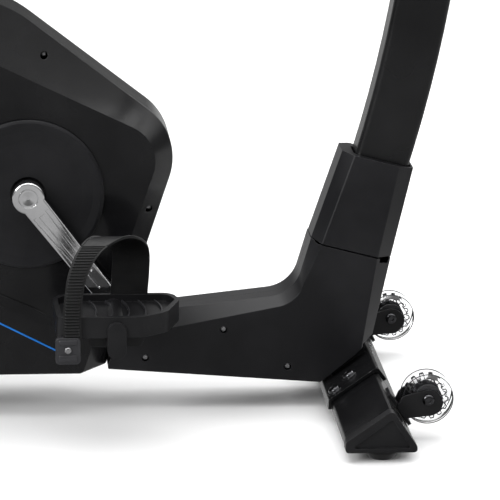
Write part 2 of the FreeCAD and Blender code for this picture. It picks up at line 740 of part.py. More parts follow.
def make_mast_boot():
    body = new_body("mast_boot")
    height = 118.0
    wall = 2.4
    low, high = sketch(body, "XY", 0), sketch(body, "XY", height)
    boot_section(low, 52.5, 41.5, 32.0, 53.0, 20.0, 46.0)
    boot_section(high, 44.5, 29.5, 28.0, 49.0, 21.0, 36.5)
    loft(body, low, high)
    low_in, high_in = sketch(body, "XY", 0), sketch(body, "XY", height)
    boot_section(low_in, 52.5 - wall, 40.5, 31.0, 53.0 - wall, 19.0, 46.0 - wall)
    boot_section(high_in, 44.5 - wall, 28.5, 27.0, 49.0 - wall, 20.0, 36.5 - wall)
    loft(body, low_in, high_in, inside=True)
    collar = sketch(body, "XY", height - 3)
    boot_section(collar, 44.0, 29.0, 27.6, 48.5, 20.6, 36.0)
    profile(collar, [(-29.5, -24.8, 9), (46.0, -24.8, 9), (46.0, 24.8, 9), (-29.5, 24.8, 9)])
    pad(body, collar, 3.0)
    node(body, "mast_boot", 408.4, 0, 204.6, (0, 1, 0), D.boot_lean)


def make_cover_screws():
    """Recessed pan-head screws of the housing and of the front frame cover, both sides."""
    screws = []
    for x, y, z, radius in ((21, -42, 459, 4.2), (150, -46, 265, 4.2), (246, -43.4, 104, 4.0),
                            (147, -43.4, 68, 4.0), (328, -43.4, 54, 4.0)):
        head = new_body("cover_screw")
        drawing = sketch(head, "XY")
        profile(drawing, [(0, 0, 0), (0, 14, 0), (1.8, 14, 0), (1.8, 3, 0), (radius, 3, 0),
                          (radius, 0.8, 0.6),
                          (1.6, 0, 0), (1.6, 1.2, 0), (0.4, 1.2, 0), (0.4, 0, 0)])
        turn(head, drawing)
        place(head, x, y, z)
        screws += [head, mirrored(head)]
    node(together("cover_screws", screws), "cover_screws")


def make_power_inlet():
    body = new_body("power_inlet")
    drawing = sketch(body, "YZ")
    circle(drawing, 0, 0, 6.4)
    pad(body, drawing, 3.0)
    barrel = sketch(body, "YZ")
    circle(barrel, 0, 0, 5.0)
    pad(body, barrel, 14.0)
    bore = sketch(body, "YZ")
    circle(bore, 0, 0, 2.8)
    cut(body, bore, 10.0)
    node(body, "power_inlet", D.inlet_x, D.inlet_y, D.inlet_z)


# ---------------------------------------------------------------- mast, handlebar, console

def make_mast():
    body = new_body("mast_tube")
    drawing = sketch(body, "XY")
    zero = Size(0, "0")
    profile(drawing, rectangle(D.mast_arc, zero, D.mast_long, D.mast_wide, 9.0))
    profile(drawing, rectangle(D.mast_arc, zero, D.mast_long - 4, D.mast_wide - 4, 7.0))
    turn(body, drawing, "V_Axis", D.mast_high - D.mast_low)
    node(body, "mast_tube", D.mast_arc_x, 0, D.mast_arc_z, (0, 1, 0), -D.mast_high)


def mast_centre(z):
    """X of the mast's middle line at height z."""
    rise = z - DIMENSIONS["mast_arc_z"]
    return DIMENSIONS["mast_arc_x"] + math.sqrt(DIMENSIONS["mast_arc"] ** 2 - rise ** 2)


def bent_bar(name, half_wide, bend, leg, wall):
    """U-shaped tube in the body's XY plane: two legs along -X, joined by a run along Y."""
    body = new_body(name)
    path = sketch(body, "XY")
    open_path(path, [(-leg, -half_wide, 0), (0, -half_wide, bend), (0, half_wide, bend),
                     (-leg, half_wide, 0)])
    section = sketch(body, "YZ", -leg)
    circle(section, -half_wide, 0, D.bar_rad)
    circle(section, -half_wide, 0, D.bar_rad - wall)
    pipe(body, section, path)
    return body


def foam_grip(name, radius, bore, long, x, y):
    """Sleeve along +X with rounded ends."""
    grip = new_body(name)
    drawing = sketch(grip, "XY")
    profile(drawing, [(0, bore, 0), (long, bore, 0), (long, radius, 2), (0, radius, 2)])
    turn(grip, drawing, "H_Axis")
    place(grip, x, y, 0)
    return grip


def make_handlebar():
    half, leg, height, pitch = 225.0, 190.0, 1060.0, 12.0
    x = mast_centre(height) - 35.6 - 14.0 - 3.0
    bar = bent_bar("handlebar", half, 70.0, leg, D.bar_wall)
    node(bar, "handlebar", x, 0, height, (0, 1, 0), pitch)
    grips = []
    for side in (1.0, -1.0):
        grips.append(foam_grip("handlebar_grip", D.grip_rad, D.bar_rad + 0.05, 120.0, -leg - 3, half * side))
    node(together("handlebar_grips", grips), "handlebar_grips", x, 0, height, (0, 1, 0), pitch)
    clamp = new_body("handlebar_clamp")
    outline = sketch(clamp, "XZ")
    profile(outline, [(-20, -24, 8), (15.6, -24, 2), (15.6, 24, 2), (-20, 24, 8)])
    circle(outline, 0, 0, D.bar_rad + 0.05)
    pad(clamp, outline, 62.0, middle=True)
    node(clamp, "handlebar_clamp", x, 0, height, (0, 1, 0), -8.0)


def make_console():
    """Shell, neck, screen and buttons; local X runs up the face and local Z is its normal."""
    up, wide, thick = D.console_up, D.console_wide, D.console_thick
    spot = (D.console_x, 0, D.console_z, (0, 1, 0), D.console_tilt)
    zero = Size(0, "0")
    shell = new_body("console_shell")
    outline = sketch(shell, "XY", -thick)
    profile(outline, rectangle(zero, zero, up, wide, 34.0))
    pad(shell, outline, thick)
    soften(shell, 12.0, flat_at("Z", -thick))
    soften(shell, 4.0, flat_at("Z", 0.0))
    recess = sketch(shell, "XY")
    profile(recess, rectangle(Size(26, "26"), zero, Size(96, "96"), Size(200, "200"), 8.0))
    cut(shell, recess, 3.0, reverse=False)
    wells = sketch(shell, "XY")
    for y in (-60.0, 0.0, 60.0):
        circle(wells, -58, y, D.button_rad + 0.5)
    cut(shell, wells, 8.0, reverse=False)
    node(shell, "console_shell", *spot)

    screen = new_body("console_screen")
    glass = sketch(screen, "XY", -2.9)
    profile(glass, rectangle(Size(26, "26"), zero, Size(95, "95"), Size(199, "199"), 7.6))
    pad(screen, glass, 2.0)
    node(screen, "console_screen", *spot)

    tilt = math.radians(number(D.console_tilt))
    for name, y in (("button_down", -60.0), ("button_start", 0.0), ("button_up", 60.0)):
        button = new_body(name)
        drawing = sketch(button, "XZ")
        profile(drawing, [(0, -5.4, 0), (D.button_rad, -5.4, 0), (D.button_rad, 2.0, 1.6), (0, 2.6, 0)])
        turn(button, drawing)
        x = D.console_x + -58 * math.cos(tilt)
        z = D.console_z - -58 * math.sin(tilt)
        node(button, name, x, y, z, (0, 1, 0), D.console_tilt)

    neck = doc.addObject("Part::Feature", "console_neck")
    lean = number(D.mast_high)
    arc, turned_up = number(D.mast_arc), math.radians(lean)
    foot = Vector(D.mast_arc_x.value + arc * math.cos(turned_up),
                  0, D.mast_arc_z.value + arc * math.sin(turned_up))
    low = rounded_wire(70.0, 48.0, 9.0)
    low.Placement = FreeCAD.Placement(foot, Rotation(Vector(0, 1, 0), -lean))
    back = Vector(-12, 0, -number(thick) - 0.2)
    turned = Rotation(Vector(0, 1, 0), number(D.console_tilt))
    high = rounded_wire(96.0, 84.0, 12.0)
    centre = Vector(number(D.console_x), 0, number(D.console_z)) + turned.multVec(back)
    high.Placement = FreeCAD.Placement(centre, turned)
    neck.Shape = Part.makeLoft([low, high], True, True)
    node(neck, "console_neck")


def rounded_wire(long, wide, radius):
    """Rounded rectangle in the XY plane, centred on the origin."""
    points = [Vector(x * long / 2, y * wide / 2, 0) for x, y in ((-1, -1), (1, -1), (1, 1), (-1, 1))]
    edges = []
    arcs = [corner_arc(points[i - 1], points[i], points[(i + 1) % 4], radius) for i in range(4)]
    for i, (start, end, centre, _) in enumerate(arcs):
        middle = centre + (points[i] - centre).normalize() * radius
        edges.append(Part.Arc(start, middle, end).toShape())
        edges.append(Part.LineSegment(end, arcs[(i + 1) % 4][0]).toShape())
    return Part.Wire(edges)


# ---------------------------------------------------------------- crank set and drive

def make_crank_arms():
    """Fluted arm along +X, turned down by crank_drop on the right and opposite on the left."""
    for name, sign in SIDES:
        body = new_body("crank_arm_" + name)
        back = sign < 0
        level = D.arm_inner * sign
        bar = sketch(body, "XZ", level)
        profile(bar, [(0, -15.5, 0), (D.crank_length, -12.5, 0), (D.crank_length, 12.5, 0), (0, 15.5, 0)])
        pad(body, bar, D.arm_thick, reverse=back)
        boss = sketch(body, "XZ", (D.arm_inner - 4) * sign)
        circle(boss, 0, 0, D.boss_rad)
        pad(body, boss, D.arm_thick + 4, reverse=back)
        eye = sketch(body, "XZ", level)
        circle(eye, D.crank_length, 0, D.eye_rad)
        pad(body, eye, D.arm_thick, reverse=back)
        outer = (D.arm_inner + D.arm_thick) * sign
        flute = sketch(body, "XZ", outer)
        corners = [(27, -4.2, 0), (143, -1.2, 1), (143, 1.2, 1), (27, 4.2, 0)]
        profile(flute, corners)
        for side in (1.0, -1.0):
            groove = [(25, 7.0 * side, 0), (120, 4.4 * side, 0), (120, 6.8 * side, 0), (25, 11.4 * side, 0)]
            profile(flute, groove if side > 0 else groove[::-1])
        cut(body, flute, 3.0, reverse=back)
        taper = sketch(body, "XZ", (D.arm_inner - 4) * sign)
        circle(taper, 0, 0, D.axle_rad)
        cut(body, taper, D.arm_thick + 8, reverse=not back)
        recess = sketch(body, "XZ", outer)
        circle(recess, 0, 0, 12.0)
        cut(body, recess, 4.0, reverse=back)
        thread = sketch(body, "XZ", (D.arm_inner - 4) * sign)
        circle(thread, D.crank_length, 0, 7.0)
        cut(body, thread, D.arm_thick + 8, reverse=not back)
        soften(body, 2.4, lambda edge: flat_at("Y", -outer)(edge) and edge.Length > 60
               and abs(edge.BoundBox.ZMax) > 12.4 or flat_at("Y", -outer)(edge)
               and edge.BoundBox.XMin < -15)
        node(body, "crank_arm_" + name, 0, 0, D.crank_z, (0, 1, 0),
             D.crank_drop if sign > 0 else D.crank_drop + 180)


def make_crank_axle():
    axle = new_body("crank_axle")
    drawing = sketch(axle, "XY")
    half = D.arm_inner + D.arm_thick - 4.2
    profile(drawing, [(0, -half, 0), (D.axle_rad, -half, 1), (D.axle_rad, half, 1), (0, half, 0)])
    turn(axle, drawing)
    node(axle, "crank_axle", 0, 0, D.crank_z)


def make_crank_caps():
    cap = new_body("crank_cap")
    drawing = sketch(cap, "XY")
    outer = D.arm_inner + D.arm_thick
    profile(drawing, [(0, -(outer - 3.9), 0), (0, -(outer - 2.0), 0), (9.0, -(outer - 0.6), 1),
                      (11.9, -(outer - 0.6), 0.8),
                      (11.9, -(outer - 3.9), 0)])
    turn(cap, drawing)
    place(cap, 0, 0, D.crank_z)
    both_sides("crank_caps", cap)


def make_crank_bearings():
    bearing = new_body("crank_bearing")
    drawing = sketch(bearing, "XY")
    outer = D.shell_long / 2 - 1
    profile(drawing, [(D.axle_rad + D.fit_gap, -outer, 0),
                      (D.axle_rad + D.fit_gap, -(outer - D.bearing_wide), 0),
                      (D.bearing_rad, -(outer - D.bearing_wide), 0), (D.bearing_rad, -outer, 0)])
    turn(bearing, drawing)
    place(bearing, 0, 0, D.crank_z)
    both_sides("crank_bearings", bearing)


def make_drive_pulley():
    """Ribbed rim on a thin web and a hub, on the crank axle."""
    body = new_body("drive_pulley")
    drawing = sketch(body, "XY")
    y, wide = D.pulley_y, D.pulley_wide
    profile(drawing, [(D.axle_rad, y - 6, 0), (22, y - 6, 0), (22, y + 4, 0), (D.pulley_rad - 9, y + 4, 0),
                      (D.pulley_rad - 9, y, 0), (D.pulley_rad, y, 0.8), (D.pulley_rad, y + wide, 0.8),
                      (D.pulley_rad - 9, y + wide, 0), (D.pulley_rad - 9, y + 8, 0), (22, y + 8, 0),
                      (22, y + wide, 0), (D.axle_rad, y + wide, 0)])
    turn(body, drawing)
    window = sketch(body, "XZ", -D.pulley_y)
    circle(window, 62, 0, 24.0)
    opening = cut(body, window, 40.0, reverse=False)
    around = body.newObject("PartDesign::PolarPattern", body.Name + "_windows")
    around.Originals = [opening]
    around.Axis = (drawing, ["V_Axis"])
    around.Angle = 360.0
    around.Occurrences = 5
    body.Tip = around
    node(body, "drive_pulley", 0, 0, D.crank_z)


def tangent_points(first, last, radius_1, radius_2, side):
    """Where a straight run touches two circles; side picks the upper or the lower run."""
    across = last - first
    tilt = math.acos((radius_1 - radius_2) / across.Length) * side
    heading = math.atan2(across.z, across.x) + tilt
    way = Vector(math.cos(heading), 0, math.sin(heading))
    return first + way * radius_1, last + way * radius_2, way


def belt_wire(offset):
    """Loop round both pulleys, offset outwards from their rims."""
    level = DIMENSIONS["pulley_y"] + 1
    big = Vector(0, level, DIMENSIONS["crank_z"])
    small = Vector(DIMENSIONS["wheel_x"], level, DIMENSIONS["wheel_z"])
    radius_1 = DIMENSIONS["pulley_rad"] + offset
    radius_2 = DIMENSIONS["small_pulley_rad"] + offset
    toward = (small - big).normalize()
    big_a, small_a, _ = tangent_points(big, small, radius_1, radius_2, 1)
    big_b, small_b, _ = tangent_points(big, small, radius_1, radius_2, -1)
    return Part.Wire([Part.LineSegment(big_a, small_a).toShape(),
                      Part.Arc(small_a, small + toward * radius_2, small_b).toShape(),
                      Part.LineSegment(small_b, big_b).toShape(),
                      Part.Arc(big_b, big - toward * radius_1, big_a).toShape()])


def make_drive_belt():
    """Flat ring between two offset loops, which no body's sketch could follow as simply."""
    gap = 0.3
    outer = Part.Face(belt_wire(gap + DIMENSIONS["belt_thick"]))
    inner = Part.Face(belt_wire(gap))
    wide = DIMENSIONS["pulley_wide"] - 2
    belt = doc.addObject("Part::Feature", "drive_belt")
    ring = outer.extrude(Vector(0, wide, 0)).cut(inner.extrude(Vector(0, wide, 0)))
    belt.Shape = ring.Solids[0]
    node(belt, "drive_belt")


def make_flywheel():
    """Heavy rim on a thin web, pressed on a shaft that turns in the plates and ends in the small pulley."""
    body = new_body("flywheel")
    drawing = sketch(body, "XY")
    rim, half = D.flywheel_rad, D.flywheel_wide / 2
    profile(drawing, [(D.shaft_rad, -20, 0), (20, -20, 2), (20, -5, 0), (rim - 22, -5, 2),
                      (rim - 22, -half, 2),
                      (rim, -half, 1.5), (rim, half, 1.5), (rim - 22, half, 2), (rim - 22, 5, 2), (20, 5, 0),
                      (20, 20, 2), (D.shaft_rad, 20, 0)])
    turn(body, drawing)
    node(body, "flywheel", D.wheel_x, 0, D.wheel_z)

    shaft = new_body("pulley_shaft")
    rod = sketch(shaft, "XY")
    y, wide = D.pulley_y, D.pulley_wide
    profile(rod, [(0, -36, 0), (D.shaft_rad, -36, 1), (D.shaft_rad, y, 0), (D.small_pulley_rad, y, 0.8),
                  (D.small_pulley_rad, y + wide, 0.8), (0, y + wide, 0)])
    turn(shaft, rod)
    node(shaft, "pulley_shaft", D.wheel_x, 0, D.wheel_z)


def make_idler():
    """Wheel that rests on the belt's lower run, and the arm that holds it."""
    big = Vector(0, 0, DIMENSIONS["crank_z"])
    small = Vector(DIMENSIONS["wheel_x"], 0, DIMENSIONS["wheel_z"])
    radius = 15.0
    clear = 0.3 + DIMENSIONS["belt_thick"] + 0.3 + radius
    low_1, low_2, way = tangent_points(big, small, DIMENSIONS["pulley_rad"],
                                       DIMENSIONS["small_pulley_rad"], 1)
    if way.z > 0:
        low_1, low_2, way = tangent_points(big, small, DIMENSIONS["pulley_rad"],
                                           DIMENSIONS["small_pulley_rad"], -1)
    spot = low_1 + (low_2 - low_1) * 0.5 + way * clear
    wheel = new_body("idler_wheel")
    drawing = sketch(wheel, "XY")
    profile(drawing, [(4.03, 0, 0), (radius, 0, 1), (radius, D.pulley_wide, 1), (4.03, D.pulley_wide, 0)])
    turn(wheel, drawing)
    node(wheel, "idler_wheel", spot.x, D.pulley_y, spot.z)

    pivot = Vector(-60, 0, 150)
    reach = spot - pivot
    lean = -math.degrees(math.atan2(reach.z, reach.x))
    arm = new_body("idler_arm")
    flat = sketch(arm, "XZ", -(D.pulley_y - 8))
    profile(flat, [(-10, -10, 9.9), (reach.Length + 10, -10, 9.9), (reach.Length + 10, 10, 9.9),
                   (-10, 10, 9.9)])
    pad(arm, flat, 5.0, reverse=True)
    pin = sketch(arm, "XZ", -(D.pulley_y - 4))
    circle(pin, reach.Length, 0, 4.0)
    pad(arm, pin, D.pulley_wide + 6, reverse=True)
    foot = sketch(arm, "XZ", -D.plate_y - 1)
    circle(foot, 0, 0, 8.0)
    pad(arm, foot, D.pulley_y - 8 - D.plate_y, reverse=True)
    node(arm, "idler_arm", pivot.x, 0, pivot.z, (0, 1, 0), lean)
    return spot


def make_magnet_arm():
    """Curved arm with magnets that hugs the flywheel from below, hinged at its front end."""
    body = new_body("magnet_arm")
    band = sketch(body, "XZ")
    inner, outer = D.flywheel_rad + 3.5, D.flywheel_rad + 11.5
    ring = Part.Circle(Vector(0, 0, 0), Vector(0, 0, 1), 1)
    start, end = math.radians(-140), math.radians(-51)
    arcs = []
    for radius in (inner, outer):
        ring.Radius = number(radius)
        arcs.append(band.addGeometry(Part.ArcOfCircle(ring, start, end)))
        band.addConstraint(Sketcher.Constraint("Coincident", arcs[-1], 3, -1, 1))
        pin_radius(band, arcs[-1], radius)
    for vertex, angle in ((1, start), (2, end)):
        ends = [Vector(math.cos(angle), math.sin(angle), 0) * number(r) for r in (inner, outer)]
        line = band.addGeometry(Part.LineSegment(*ends))
        band.addConstraint(Sketcher.Constraint("Coincident", line, 1, arcs[0], vertex))
        band.addConstraint(Sketcher.Constraint("Coincident", line, 2, arcs[1], vertex))
        band.addConstraint(Sketcher.Constraint("PointOnObject", -1, 1, line))
        band.addConstraint(Sketcher.Constraint("Angle", -1, 1, line, 1, angle))
    pad(body, band, 34.0, middle=True)
    knuckle = sketch(body, "XZ")
    circle(knuckle, D.magnet_x - D.wheel_x, D.magnet_z - D.wheel_z, 9.0)
    pad(body, knuckle, 34.0, middle=True)
    bore = sketch(body, "XZ")
    circle(bore, D.magnet_x - D.wheel_x, D.magnet_z - D.wheel_z, D.pin_rad + D.fit_gap)
    cut(body, bore, 40.0, middle=True)
    node(body, "magnet_arm", D.wheel_x, 0, D.wheel_z)


def make_resistance_motor():
    top = D.tube_bottom + D.tube_tall + 6.3
    can = block(34.0, 34.0, 26.0, -108, -17, top)
    drum = cylinder(9.0, 8.0, -91, 0, top + 25.5)
    node(join("resistance_motor", [can, drum]), "resistance_motor")


# ---------------------------------------------------------------- pedals

def pedal_spot(sign):
    """Pedal axis from the crank datum: forward and down on the right, opposite on the left."""
    x = D.crank_length * cosd(D.crank_drop) * sign
    z = D.crank_z - D.crank_length * sind(D.crank_drop) * sign
    return x, z


def make_pedals():
    spindles = []
    for name, sign in SIDES:
        x, z = pedal_spot(sign)
        back = sign < 0
        body = new_body("pedal_" + name)
        plan = sketch(body, "XY", -8.0)
        inner, outer = D.pedal_in * sign, D.pedal_out * sign
        corners = [(-76, -inner, 24), (72, -inner, 18), (80, -(inner + 30 * sign), 16),
                   (62, -(outer - 22 * sign), 30),
                   (30, -outer, 40), (-72, -outer, 14)]
        profile(plan, corners if back else corners[::-1])
        pad(body, plan, 26.0)
        dish = sketch(body, "XY", 18.0)
        rim = 6.0
        hollow = [(-76 + rim, -(inner + rim * sign), 20), (72 - rim, -(inner + rim * sign), 14),
                  (80 - rim, -(inner + 30 * sign), 12), (60 - rim, -(outer - 22 * sign), 28),
                  (30, -(outer - rim * sign), 36), (-72 + rim, -(outer - rim * sign), 10)]
        profile(dish, hollow if back else hollow[::-1])
        cut(body, dish, 9.0, reverse=False)
        boss = sketch(body, "XZ", (D.pedal_out - 30) * sign)
        profile(boss, [(-11.5, -34, 11.4), (11.5, -34, 11.4), (11.5, 11.6, 11.4), (-11.5, 11.6, 11.4)])
        pad(body, boss, 34.0, reverse=back)
        barrel = sketch(body, "XZ", (D.pedal_in - 1) * sign)
        circle(barrel, 0, 0, 12.5)
        pad(body, barrel, D.pedal_out - D.pedal_in - 20, reverse=back)
        weight = sketch(body, "XZ", (D.pedal_in + 20) * sign)
        profile(weight, [(-30, -26, 6), (30, -26, 6), (38, -6, 0), (-38, -6, 0)])
        pad(body, weight, 62.0, reverse=back)
        bore = sketch(body, "XZ", (D.pedal_in - 6) * sign)
        circle(bore, 0, 0, D.spindle_rad + 0.05)
        cut(body, bore, D.pedal_out - D.pedal_in - 4, reverse=not back)
        node(body, "pedal_" + name, x, 0, z)

        length = D.pedal_out - D.pedal_in - 12
        inner_end = D.arm_inner + D.arm_thick
        start = inner_end if back else -(inner_end + length)
        rod = along_y(D.spindle_rad, length, x, start, z)
        thread_start = D.arm_inner + 1 if back else -inner_end - 0.5
        thread = along_y(7.0, D.arm_thick - 0.5, x, thread_start, z)
        collar = along_y(9.5, 6.0, x, inner_end + 0.2 if back else -inner_end - 6.2, z)
        spindles.append(join("pedal_spindle", [rod, thread, collar]))
    node(together("pedal_spindles", spindles), "pedal_spindles")


STRAP = (
    # along X, across (from the middle plane), height over the pedal axis, width along X
    (-52.0, 218.4, -28.0, 22.0), (-54.0, 219.0, 12.0, 22.0), (-52.0, 217.0, 44.0, 22.0),
    (-46.0, 211.0, 72.0, 24.0), (-32.0, 197.0, 94.0, 30.0), (-8.0, 172.0, 106.0, 42.0),
    (14.0, 146.0, 102.0, 46.0), (26.0, 126.0, 84.0, 46.0), (26.0, 118.6, 52.0, 46.0),
    (20.0, 117.6, 20.0, 46.0),
)


def make_pedal_straps():
    """Strap bent over the foot from the outer rim to the inner rim of each pedal."""
    thick = 3.0
    for name, sign in SIDES:
        x, z = pedal_spot(sign)
        centres = [Vector(sx, -across * sign, height) for sx, across, height, _ in STRAP]
        sections = []
        for i, (_, _, _, wide) in enumerate(STRAP):
            ahead = centres[min(i + 1, len(STRAP) - 1)] - centres[max(i - 1, 0)]
            ahead.x = 0
            out = ahead.normalize().cross(Vector(1, 0, 0))
            if out.dot(Vector(0, -sign if i < 5 else sign, 0.6)) < 0:
                out = -out
            side = Vector(wide / 2, 0, 0)
            spot = centres[i]
            corners = [spot - side, spot + side, spot + side + out * thick, spot - side + out * thick]
            sections.append(Part.makePolygon(corners + corners[:1]))
        strap = doc.addObject("Part::Feature", "pedal_strap_" + name)
        strap.Shape = Part.makeLoft(sections, True, False)
        node(strap, "pedal_strap_" + name, x, 0, z)


# ---------------------------------------------------------------- seat

def make_seat_carriage():
    """Steel slider round the rail, with a level seat mount, the backrest's post and the lever's pivot."""
    body = new_body("seat_carriage")
    half_tall = D.rail_tall / 2 + 0.5
    inner, outer = D.rail_wide / 2 + 0.5, D.rail_wide / 2 + 5.5
    top = half_tall + 6
    channel = sketch(body, "YZ")
    lip = inner - 7.5
    profile(channel, [(-outer, -top, 0), (-lip, -top, 0), (-lip, -half_tall, 0), (-inner, -half_tall, 0),
                      (-inner, half_tall, 0), (inner, half_tall, 0), (inner, -half_tall, 0),
                      (lip, -half_tall, 0),
                      (lip, -top, 0), (outer, -top, 0), (outer, top, 0), (-outer, top, 0)])
    pad(body, channel, 415.0)
    mount = sketch(body, "XZ")
    profile(mount, [(135, top - 1, 0), (410, top - 1, 0), (409, 81.0, 0), (135, 52.1, 0)])
    pad(body, mount, 80.0, middle=True)
    hollow = sketch(body, "XZ")
    profile(hollow, [(120, top, 0), (430, top, 0), (430, 78.2, 0), (120, 45.6, 0)])
    cut(body, hollow, 70.0, middle=True)
    saddle = sketch(body, "XZ")
    profile(saddle, [(44, top - 1, 0), (78, top - 1, 0), (78, 30.9, 0), (44, 30.9, 0)])
    pad(body, saddle, 60.0, middle=True)
    post = sketch(body, "XZ")
    profile(post, [(0, top - 2, 0), (40, top - 2, 0), (25.7, 219.3, 80), (-48.0, 394.6, 4), (-72.7, 384.3, 4),
                   (1.6, 209.1, 80)])
    pad(body, post, 44.0, middle=True)
    channel_back = sketch(body, "XZ")
    profile(channel_back, [(-14, 36, 0), (34, 36, 0), (22.2, 218.6, 78), (-49.5, 390.0, 0), (-90.0, 371.0, 0),
                           (-20.0, 205.0, 80)])
    cut(body, channel_back, 38.0, middle=True)
    pivot = sketch(body, "XZ", outer - 1)
    circle(pivot, 340, 0, 4.96)
    pad(body, pivot, 16.0)
    node(body, "seat_carriage", *slider_spot())


def slider_spot():
    """Place of the slider's rear end at rest, and the rail's slope."""
    x, z = rail_point(100.0)
    return x, 0, z, (0, 1, 0), D.rail_pitch


def rail_point(along):
    """Point on the rail's middle line at a distance from its rear end."""
    return (D.rail_rear_x + cosd(D.rail_pitch) * along, D.rail_rear_z - sind(D.rail_pitch) * along)


def make_seat_lever():
    body = new_body("seat_lever")
    boss = sketch(body, "XZ", 0)
    circle(boss, 0, 0, 13.0)
    pad(body, boss, 12.0)
    bore = sketch(body, "XZ", -1)
    circle(bore, 0, 0, 5.0)
    cut(body, bore, 20.0)
    arm = sketch(body, "XZ", 2.0)
    profile(arm, [(8, -6, 0), (70, 8, 20), (150, 8, 4), (150, 22, 4), (66, 22, 20), (8, 8, 0)])
    pad(body, arm, 8.0)
    grip = sketch(body, "XZ", -2.0)
    profile(grip, [(92, 5, 6), (160, 5, 9), (160, 25, 9), (92, 25, 6)])
    pad(body, grip, 16.0)
    x, z = rail_point(440.0)
    node(body, "seat_lever", x, -(D.rail_wide / 2 + 6.3), z)


def cushion_plan(drawing, long, wide, front, rear):
    """Rounded rectangle with its own corner radius at the front and at the rear."""
    x0, x1 = -(long / 2), long / 2
    profile(drawing, [(x0, -(wide / 2), rear), (x1, -(wide / 2), front), (x1, wide / 2, front),
                      (x0, wide / 2, rear)])


def make_seat():
    pan = new_body("seat_pan")
    plan = sketch(pan, "XY", -14.0)
    cushion_plan(plan, D.seat_long - 24, D.seat_wide - 30, 70.0, 50.0)
    pad(pan, plan, 13.6)
    soften(pan, 6.0, flat_at("Z", -14.0))
    node(pan, "seat_pan", D.seat_x, 0, D.seat_z)

    cushion = new_body("seat_cushion")
    plan = sketch(cushion, "XY")
    cushion_plan(plan, D.seat_long, D.seat_wide, 90.0, 60.0)
    pad(cushion, plan, D.seat_thick)
    soften(cushion, 26.0, flat_at("Z", D.seat_thick))
    soften(cushion, 14.0, flat_at("Z", 0.0))
    node(cushion, "seat_cushion", D.seat_x, 0, D.seat_z)


def make_backrest():
    """Cushion and shell; local X runs up the back and local Z faces the rider."""
    lean = 90.0 - number(D.back_lean)
    height = 863.0
    x = -930.4
    basis = Rotation(Vector(0, 1, 0), lean).multiply(Rotation(Vector(0, 0, 1), 180.0))
    for label, long, wide, low, thick, big, small in (
            ("backrest_shell", D.back_tall - 30, D.back_wide - 36, -13.0, 12.7, 5.0, 0.0),
            ("backrest_cushion", D.back_tall, D.back_wide, 0.0, D.back_thick, 22.0, 12.0)):
        body = new_body(label)
        plan = sketch(body, "XY", low)
        cushion_plan(plan, long, wide, 95.0, 60.0)
        pad(body, plan, thick)
        if small:
            soften(body, big, flat_at("Z", number(low) + number(thick)))
            soften(body, small, flat_at("Z", low))
        else:
            soften(body, big, flat_at("Z", low))
        node(body, label, x, 0, height)
        body.Placement = FreeCAD.Placement(body.Placement.Base, basis)


def make_side_handles():
    half, leg, pitch = 262.0, 268.0, -32.5
    spot = (-880.0, 0, 514.0)
    bar = bent_bar("side_handles", half, 60.0, leg, D.bar_wall)
    grips = [foam_grip("side_grip", D.grip_rad, D.bar_rad + 0.05, 130.0, -leg - 3, half * side)
             for side in (1.0, -1.0)]
    turned = Rotation(Vector(0, 1, 0), pitch).multiply(Rotation(Vector(0, 0, 1), 180.0))
    for obj, label in ((bar, "side_handles"), (together("side_grips", grips), "side_grips")):
        node(obj, label, *spot)
        obj.Placement = FreeCAD.Placement(obj.Placement.Base, turned)


# ---------------------------------------------------------------- build, check and write

MAKERS = (make_frame_tube, make_drive_mount, make_seat_struts, make_seat_rail, make_saddles,
          make_floor_pads, make_frame_bolts, make_wheel_brackets, make_rollers, make_housing,
          make_crank_discs, make_accent_stripes, make_frame_covers, make_mast_boot, make_cover_screws,
          make_power_inlet, make_mast, make_handlebar, make_console, make_crank_arms, make_crank_axle,
          make_crank_caps, make_crank_bearings, make_drive_pulley, make_drive_belt, make_flywheel,
          make_idler, make_magnet_arm, make_resistance_motor, make_pedals,
          make_pedal_straps, make_seat_carriage, make_seat_lever, make_seat, make_backrest,
          make_side_handles)


def build():
    caps = make_beam("front_beam", D.front_beam_x, 1.0) + make_beam("rear_beam", D.rear_beam_x, -1.0)
    node(together("beam_caps", caps), "beam_caps")
    for maker in MAKERS:
        maker()
    doc.recompute()


def check():
    """Stop before anything is written if an object failed or a sub-part is not a sound solid."""
    for obj in doc.Objects:
        if "Invalid" in obj.State or "Error" in obj.State:
            raise RuntimeError("object failed: " + obj.Name)
    for obj in NODES:
        if obj.Shape.isNull() or not obj.Shape.isValid() or not obj.Shape.Solids:
            raise RuntimeError("bad shape: " + obj.Label)


def write():
    os.makedirs("parts", exist_ok=True)
    for old in os.listdir("parts"):
        os.remove(os.path.join("parts", old))
    for obj in NODES:
        obj.Shape.exportStep("parts/" + obj.Label + ".step")


build()
check()
write()
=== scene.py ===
import json
import math

import bmesh
import bpy
from mathutils import Matrix, Vector


